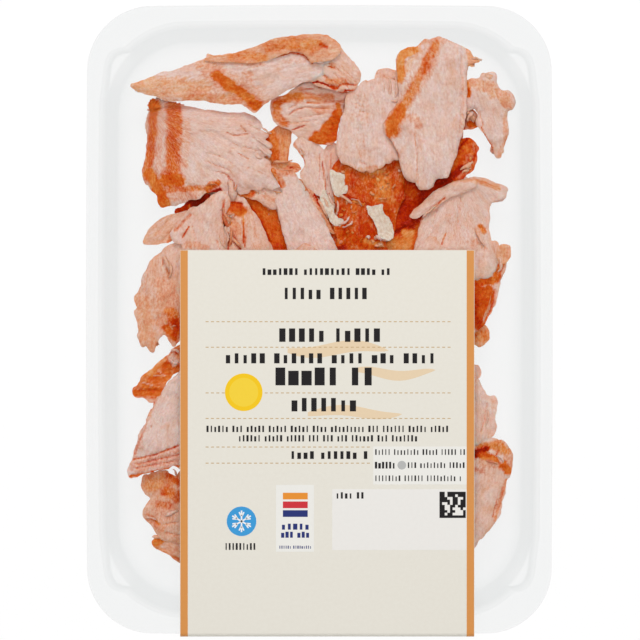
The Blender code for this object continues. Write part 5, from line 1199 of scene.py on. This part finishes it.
def roast_flesh():
    """Pale cooked flesh with streaks along its fibres, under a honey glaze where the glaze share says, and
    painted shade along its edges where the rim share says.
    """
    material, nodes, links, shader = new_material("roast salmon")
    set_inputs(shader, {"Specular IOR Level": 0.08, "Coat Roughness": 0.25, "Subsurface Weight": 0.4,
                        "Subsurface Radius": (1.0, 0.45, 0.25), "Subsurface Scale": 0.0012})
    grain = grained(nodes, links, 0.7, 0.0004)

    def spread(value, low, high):
        return ranged(nodes, links, value, 0.0, 1.0, low, high)

    def added(*values):
        return computed(nodes, links, "ADD", *values)

    streak = ranged(nodes, links, grain["Streak"], 0.3, 0.7)
    cloud = ranged(nodes, links, grain["Cloud"], 0.3, 0.7)
    speck = ranged(nodes, links, grain["Speck"], 0.32, 0.68)
    mottle = added(spread(streak, 0.0, 0.4), spread(speck, 0.0, 0.6))
    pale = blended(nodes, links, mottle, linear(215, 175, 160), linear(240, 219, 211))
    warm = blended(nodes, links, mottle, linear(214, 140, 98), linear(232, 182, 146))
    peach = added(attribute(nodes, "peach"), spread(cloud, -0.3, 0.3))
    flesh = blended(nodes, links, spread(peach, 0.0, 1.0), pale, warm)
    # Painted shade: a darker orange-brown along edges and layer steps, broken up by the cloud, for the crevices
    # between and within flakes.
    edge_shade_cloud = ranged(nodes, links, cloud, 0.2, 0.9, 0.45, 1.0)
    rim = computed(nodes, links, "MULTIPLY", attribute(nodes, "rim"), edge_shade_cloud)
    flesh = blended(nodes, links, rim, flesh, linear(206, 124, 72))
    glaze = nodes.new("ShaderNodeValToRGB")
    stops = ((0.0, (232, 172, 112)), (0.25, (222, 134, 62)), (0.45, (210, 94, 20)), (0.65, (196, 54, 0)),
             (0.85, (166, 26, 0)), (1.0, (128, 26, 6)))
    for i, (place, colour) in enumerate(stops):
        stop = glaze.color_ramp.elements[i] if i < 2 else glaze.color_ramp.elements.new(place)
        stop.position = place
        stop.color = (*linear(*colour), 1.0)
    tone = added(attribute(nodes, "dark"), spread(cloud, -0.14, 0.14))
    links.new(added(tone, spread(speck, 0.14, -0.14)), glaze.inputs["Fac"])
    cover = added(attribute(nodes, "glaze"), spread(mottle, 0.15, -0.35))
    cover = ranged(nodes, links, cover, 0.02, 0.85)
    links.new(blended(nodes, links, cover, flesh, glaze.outputs["Color"]), shader.inputs["Base Color"])
    links.new(spread(cover, 0.55, 0.42), shader.inputs["Roughness"])
    links.new(spread(cover, 0.0, 0.04), shader.inputs["Coat Weight"])
    return material


salmon_skin = roast_flesh()
drawn = [Flake(name, np.array(line, float).reshape(-1, 2), *shares) for name, line, *shares in FLAKES]
curds = [flake for flake in drawn if flake.name in ("curd_long", "curd_short", "pale_shred")]
seen = [flake for flake in drawn if flake not in curds]
upper = [flake for flake in seen if flake.outline[:, 1].max() > 60.0]
lower = [flake for flake in seen if flake not in upper]
make_flakes("salmon_upper_flakes", upper, 0.4, salmon_skin, 1, "salmon_flakes")
make_flakes("salmon_lower_flakes", lower, 0.42, salmon_skin, 31)
make_shreds("salmon_shreds", SHREDS, 14, salmon_skin, 1)
make_shreds("salmon_crumbs", crumb_rows(), 6, salmon_skin, 101)
bed = [from_spine(row) for row in (*BED_FLAKES, *hidden_flakes())]
make_flakes("salmon_hidden_flakes", bed, 0.9, salmon_skin, 81)


def milky_curd():
    """Set white protein that the fish lets out as it cooks."""
    material, nodes, links, shader = new_material("milky curd")
    set_inputs(shader, {"Roughness": 0.45, "Subsurface Weight": 0.35, "Subsurface Radius": (1.0, 0.6, 0.4),
                        "Subsurface Scale": 0.001})
    grain = grained(nodes, links, 0.6, 0.0003)
    cloud = ranged(nodes, links, grain["Speck"], 0.35, 0.65)
    colour = blended(nodes, links, cloud, linear(233, 221, 206), linear(212, 186, 163))
    links.new(colour, shader.inputs["Base Color"])
    return material


make_flakes("milky_curd", curds, 0.3, milky_curd(), 121)

# Lidding film
# Clear film welded to the flange all round, pulled tight across the mouth.
film_low, film_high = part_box("lid_film")
film_tint, film_edge_tint = linear(253, 254, 254), linear(244, 244, 244)
film_plastic = clear_plastic("clear film", film_tint, film_edge_tint, 1.02, 0.02, 0.00001, 40.0)
film_outline = grown(rim_outline, -0.3)
film_levels = [(film_outline, height / MM, 0.0) for height in (film_low.z, film_high.z)]
finish_piece("film_lid", loft(film_levels), film_plastic, "lid_film")

# Label
# A band of thin printed card, glued down over the film, folded down past the rim at one end and run back
# under the tray. It is cream, with an orange stripe along each long edge.
label_low, label_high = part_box("label")
label_left, label_right = label_low.x / MM, label_high.x / MM
label_back = (label_high.y - tray_middle_y) / MM
label_front = label_back - 19.3
label_top = label_high.z / MM
solid_card = 0.4
card = 0.34
card_gap = 0.3
rim_bend = 1.0
bend_steps = 20


def band_section(inner, outer, short=0.0):
    """Section in Y and Z of a band round the pack's end, between two distances from the label's inside."""
    inside_z = label_top - solid_card
    rim = Vector((-rim_outline[1] - side_bow - card_gap + rim_bend, inside_z - rim_bend))
    base = Vector((-mouth_outline[1] - side_bow + foot_inset, foot_centre))
    base_bend = foot_centre - solid_card
    along = base - rim
    lean = math.atan2(along.y, along.x) - math.acos((rim_bend - base_bend) / along.length)
    slanted = lean % (2 * math.pi)
    bends = ((rim, rim_bend, math.pi / 2, slanted), (base, base_bend, slanted, 1.5 * math.pi))

    def path(out):
        points = [Vector((label_front - short, inside_z + out))]
        for centre, bend, start, end in bends:
            for step in range(bend_steps + 1):
                turn = start + (end - start) * step / bend_steps
                points.append(centre + (bend + out) * Vector((math.cos(turn), math.sin(turn))))
        return points + [Vector((label_back - short, solid_card - out))]

    return path(inner) + path(outer)[::-1]


def raise_faces(bm, faces, way):
    """Makes open faces into closed solids by a step along a way."""
    made = bmesh.ops.extrude_face_region(bm, geom=faces, use_keep_orig=True)["geom"]
    bmesh.ops.translate(bm, verts=new_verts(made), vec=way)


def swept_band(section, left, width):
    """A section carried across the label."""
    bm = bmesh.new()
    face = bm.faces.new([bm.verts.new((left, *point)) for point in section])
    raise_faces(bm, [face], (width, 0.0, 0.0))
    return bm


def printed_card(name, colour, second, roughness):
    """Ink or bare stock on satin card, with a faint paper mottle."""
    material, nodes, links, shader = new_material(name)
    mottle = clouded(nodes, links, 900.0, roughness, roughness + 0.1, 0.00001)
    links.new(blended(nodes, links, mottle, colour, second), shader.inputs["Base Color"])
    return material


cream = printed_card("cream card", linear(238, 234, 223), linear(233, 228, 216), 0.5)
finish_piece("label_card", swept_band(band_section(0.0, card), label_left, label_right - label_left),
             cream, "label")
stripe_ink = printed_card("stripe ink", linear(224, 152, 82), linear(218, 146, 76), 0.45)
stripe_width = 2.2
stripe_section = band_section(card, card + 0.03, 0.1)
for side, left in (("left", label_left + 0.1), ("right", label_right - 0.1 - stripe_width)):
    stripe = swept_band(stripe_section, left, stripe_width)
    finish_piece(f"label_stripe_{side}", stripe, stripe_ink)

# Print
# Inks on the card's face. Words are rows of plain upright marks, and pictures are plain discs, bands, waves
# and a star, in the colours and places of a retail label. All places are measured from the label's left and
# front edges.
print_seed = random.Random(5)
dash_length, dash_width, dash_pitch = 0.9, 0.27, 1.6
sunk = 0.01


def marks(left, right, middle, height, pitch, weight=0.5):
    """Upright marks in groups of a word's length, along a line."""
    bars, u = [], left
    while u < right - pitch / 2:
        for letter in range(print_seed.randint(3, 9)):
            if u > right - pitch / 2:
                break
            wide = pitch * weight * print_seed.uniform(0.7, 1.3)
            tall = height * print_seed.choice((1.0, 1.0, 0.82))
            bars.append((u + pitch / 2, middle + (height - tall) / 2, wide, tall, 0.0))
            u += pitch
        u += pitch * 0.7
    return bars


def dashes(left, right, middle):
    """A dashed rule across the label."""
    places = np.arange(left + dash_length / 2, right, dash_pitch)
    return [(u, middle, dash_length, dash_width, 0.0) for u in places]


def printed(name, colour, height, bars=(), discs=(), waves=()):
    """One ink, standing a hair over the card: bars with a turn, discs, and tapering wavy bands."""
    bm = bmesh.new()
    corner = Matrix.Translation((label_left, label_front, label_top - 0.05 - sunk))
    face_of_card = corner @ Matrix.Scale(-1, 4, (0, 1, 0))
    for u, v, wide, tall, turn in bars:
        place = face_of_card @ Matrix.Translation((u, v, 0)) @ Matrix.Rotation(turn, 4, "Z")
        place = place @ Matrix.Diagonal((wide, tall, 1, 1))
        bmesh.ops.create_grid(bm, x_segments=1, y_segments=1, size=0.5, matrix=place)
    for u, v, radius in discs:
        place = face_of_card @ Matrix.Translation((u, v, 0))
        bmesh.ops.create_circle(bm, cap_ends=True, segments=48, radius=radius, matrix=place)
    for left, right, middle, rise, half, phase in waves:
        made = bmesh.ops.create_grid(bm, x_segments=24, y_segments=1, size=1.0)["verts"]
        for vert in made:
            share = (vert.co.x + 1) / 2
            taper = math.sin(math.pi * min(1.0, 0.06 + share * 0.94)) ** 0.6
            vert.co.x = left + (right - left) * share
            wave = middle + rise * math.sin(phase + 2 * math.pi * share)
            vert.co.y = wave + vert.co.y * half * max(taper, 0.03)
        bmesh.ops.transform(bm, matrix=face_of_card, verts=made)
    bmesh.ops.recalc_face_normals(bm, faces=bm.faces)
    raise_faces(bm, bm.faces[:], (0.0, 0.0, sunk + height))
    darker = [max(0, value - 5) for value in colour]
    ink = printed_card(name.replace("_", " "), linear(*colour), linear(*darker), 0.42)
    finish_piece(name, bm, ink)


swirls = ((32.0, 62.0, 29.5, 1.0, 1.9, 0.4), (52.0, 76.0, 36.5, -0.9, 1.5, 1.2),
          (38.0, 66.0, 48.4, 0.8, 1.6, 2.6))
printed("ink_apricot", (238, 214, 180), 0.004, waves=swirls)
rules = [dash for v in (21.3, 28.9, 42.5, 50.1) for dash in dashes(7.6, 80.3, v)]
rules += [dash for v in (58.6, 63.4) for dash in dashes(7.6, 57.5, v)]
printed("ink_tan", (206, 176, 132), 0.012, rules)
words = []
for line in ((24.2, 63.4, 6.4, 2.0, 1.6, 0.6), (30.4, 57.2, 12.9, 3.4, 2.4), (29.0, 58.7, 25.3, 4.0, 2.9),
             (13.0, 75.0, 32.2, 3.0, 2.55), (27.9, 59.6, 37.6, 5.3, 3.9, 0.62), (32.6, 55.0, 46.0, 4.0, 2.9),
             (7.6, 80.2, 53.2, 1.9, 1.15, 0.45), (17.2, 70.8, 56.0, 1.9, 1.15, 0.45),
             (32.6, 55.4, 61.0, 2.3, 1.9, 0.55), (46.2, 55.4, 73.0, 1.9, 1.3, 0.45),
             (13.2, 23.4, 88.2, 2.0, 1.05, 0.45), (57.8, 85.3, 60.1, 1.7, 0.98, 0.4),
             (57.8, 63.8, 64.0, 2.0, 1.05, 0.6), (67.5, 85.3, 64.0, 1.7, 1.0, 0.4),
             (57.8, 83.8, 67.9, 1.7, 1.0, 0.4)):
    words += marks(*line)
cell = 0.78
for i in range(10):
    for j in range(10):
        if i == 0 or j == 9 or print_seed.random() < 0.48:
            words.append((77.6 + cell * i, 72.3 + cell * j, cell + 0.01, cell + 0.01, 0.0))
printed("panel_white", (244, 242, 236), 0.006, [(71.6, 64.1, 28.2, 11.3, 0.0), (34.2, 79.8, 11.3, 19.9, 0.0)])
printed("panel_pale", (243, 240, 235), 0.006, [(65.5, 80.2, 40.4, 18.1, 0.0)])
printed("ink_black", (26, 22, 24), 0.02, words)
printed("ink_grey", (190, 190, 188), 0.012, discs=[(66.0, 64.0, 1.3)])
cold_u, cold_v = 18.3, 80.7
printed("ink_blue", (62, 160, 222), 0.012, discs=[(cold_u, cold_v, 4.4)])
star = [(cold_u, cold_v, 0.45, 6.4, math.pi * i / 3) for i in range(3)]
barb_reach = 2.2
for arm in np.arange(6) * math.pi / 3 + math.pi / 6:
    for side in (-0.2, 0.2):
        place = cold_u + barb_reach * math.cos(arm + side), cold_v + barb_reach * math.sin(arm + side)
        star.append((*place, 0.4, 1.3, arm + math.pi / 2 + 2.2 * side))
printed("ink_white", (250, 250, 250), 0.022, star)
printed("ink_yellow", (252, 206, 20), 0.014, discs=[(18.95, 42.3, 5.6)])
printed("ink_gold", (252, 216, 60), 0.018, discs=[(18.95, 42.3, 4.3)])
printed("ink_orange", (240, 150, 50), 0.012, [(34.3, 73.2, 7.4, 2.0, 0.0)])
printed("ink_red", (214, 50, 60), 0.012, [(34.3, 75.8, 7.4, 2.0, 0.0)])
navy = [(34.3, 78.4, 7.4, 2.0, 0.0)]
for line in ((29.9, 38.7, 82.3, 1.8, 1.75, 0.6), (29.9, 38.7, 84.7, 1.8, 1.3, 0.6),
             (29.4, 39.2, 88.4, 0.9, 0.62)):
    navy += marks(*line)
printed("ink_navy", (38, 52, 120), 0.014, navy)

# Floor, light and camera
# A white sweep under even soft light, seen from straight above as the pack was.
floor_mesh = bpy.data.meshes.new("floor")
bm = bmesh.new()
bmesh.ops.create_grid(bm, x_segments=1, y_segments=1, size=2.0)
bm.to_mesh(floor_mesh)
bm.free()
floor = bpy.data.objects.new("floor", floor_mesh)
floor.location.z = -0.0002
bpy.context.scene.collection.objects.link(floor)
white_sweep, _, _, paint = new_material("white sweep")
set_inputs(paint, {"Base Color": (0.1, 0.1, 0.1, 1.0), "Roughness": 0.9, "Specular IOR Level": 0.0,
                   "Emission Color": (1.0, 1.0, 1.0, 1.0), "Emission Strength": 0.91})
floor_mesh.materials.append(white_sweep)
floor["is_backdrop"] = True

world = bpy.data.worlds.new("soft room")
bpy.context.scene.world = world
world.use_nodes = True
set_inputs(world.node_tree.nodes["Background"], {"Color": (1.0, 1.0, 1.0, 1.0), "Strength": 0.3})


def soft_box(name, place, size, power, mirrored):
    """A square lamp turned towards the pack."""
    light = bpy.data.lights.new(name, "AREA")
    light.shape = "SQUARE"
    light.size = size
    light.energy = power
    lamp = bpy.data.objects.new(name, light)
    lamp.location = place
    lamp.rotation_euler = (-Vector(place)).to_track_quat("-Z", "Y").to_euler()
    lamp.visible_glossy = mirrored
    lamp.visible_transmission = False
    bpy.context.scene.collection.objects.link(lamp)


soft_box("overhead_light", (0.0, 0.05, 1.5), 0.4, 9.6, False)
soft_box("key_light", (0.0, 0.8, 0.95), 0.4, 5.0, True)

camera = bpy.data.cameras.new("camera")
camera.lens = 151.0
camera.sensor_width = 36.0
viewpoint = bpy.data.objects.new("camera", camera)
viewpoint.location = (0.0002, tray_middle_y - 0.0001, tray_high.z + 0.8)
bpy.context.scene.collection.objects.link(viewpoint)
bpy.context.scene.camera = viewpoint
bpy.context.scene.view_settings.view_transform = "Standard"

[[list(corner) for corner in box] for box in (cad_box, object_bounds())]
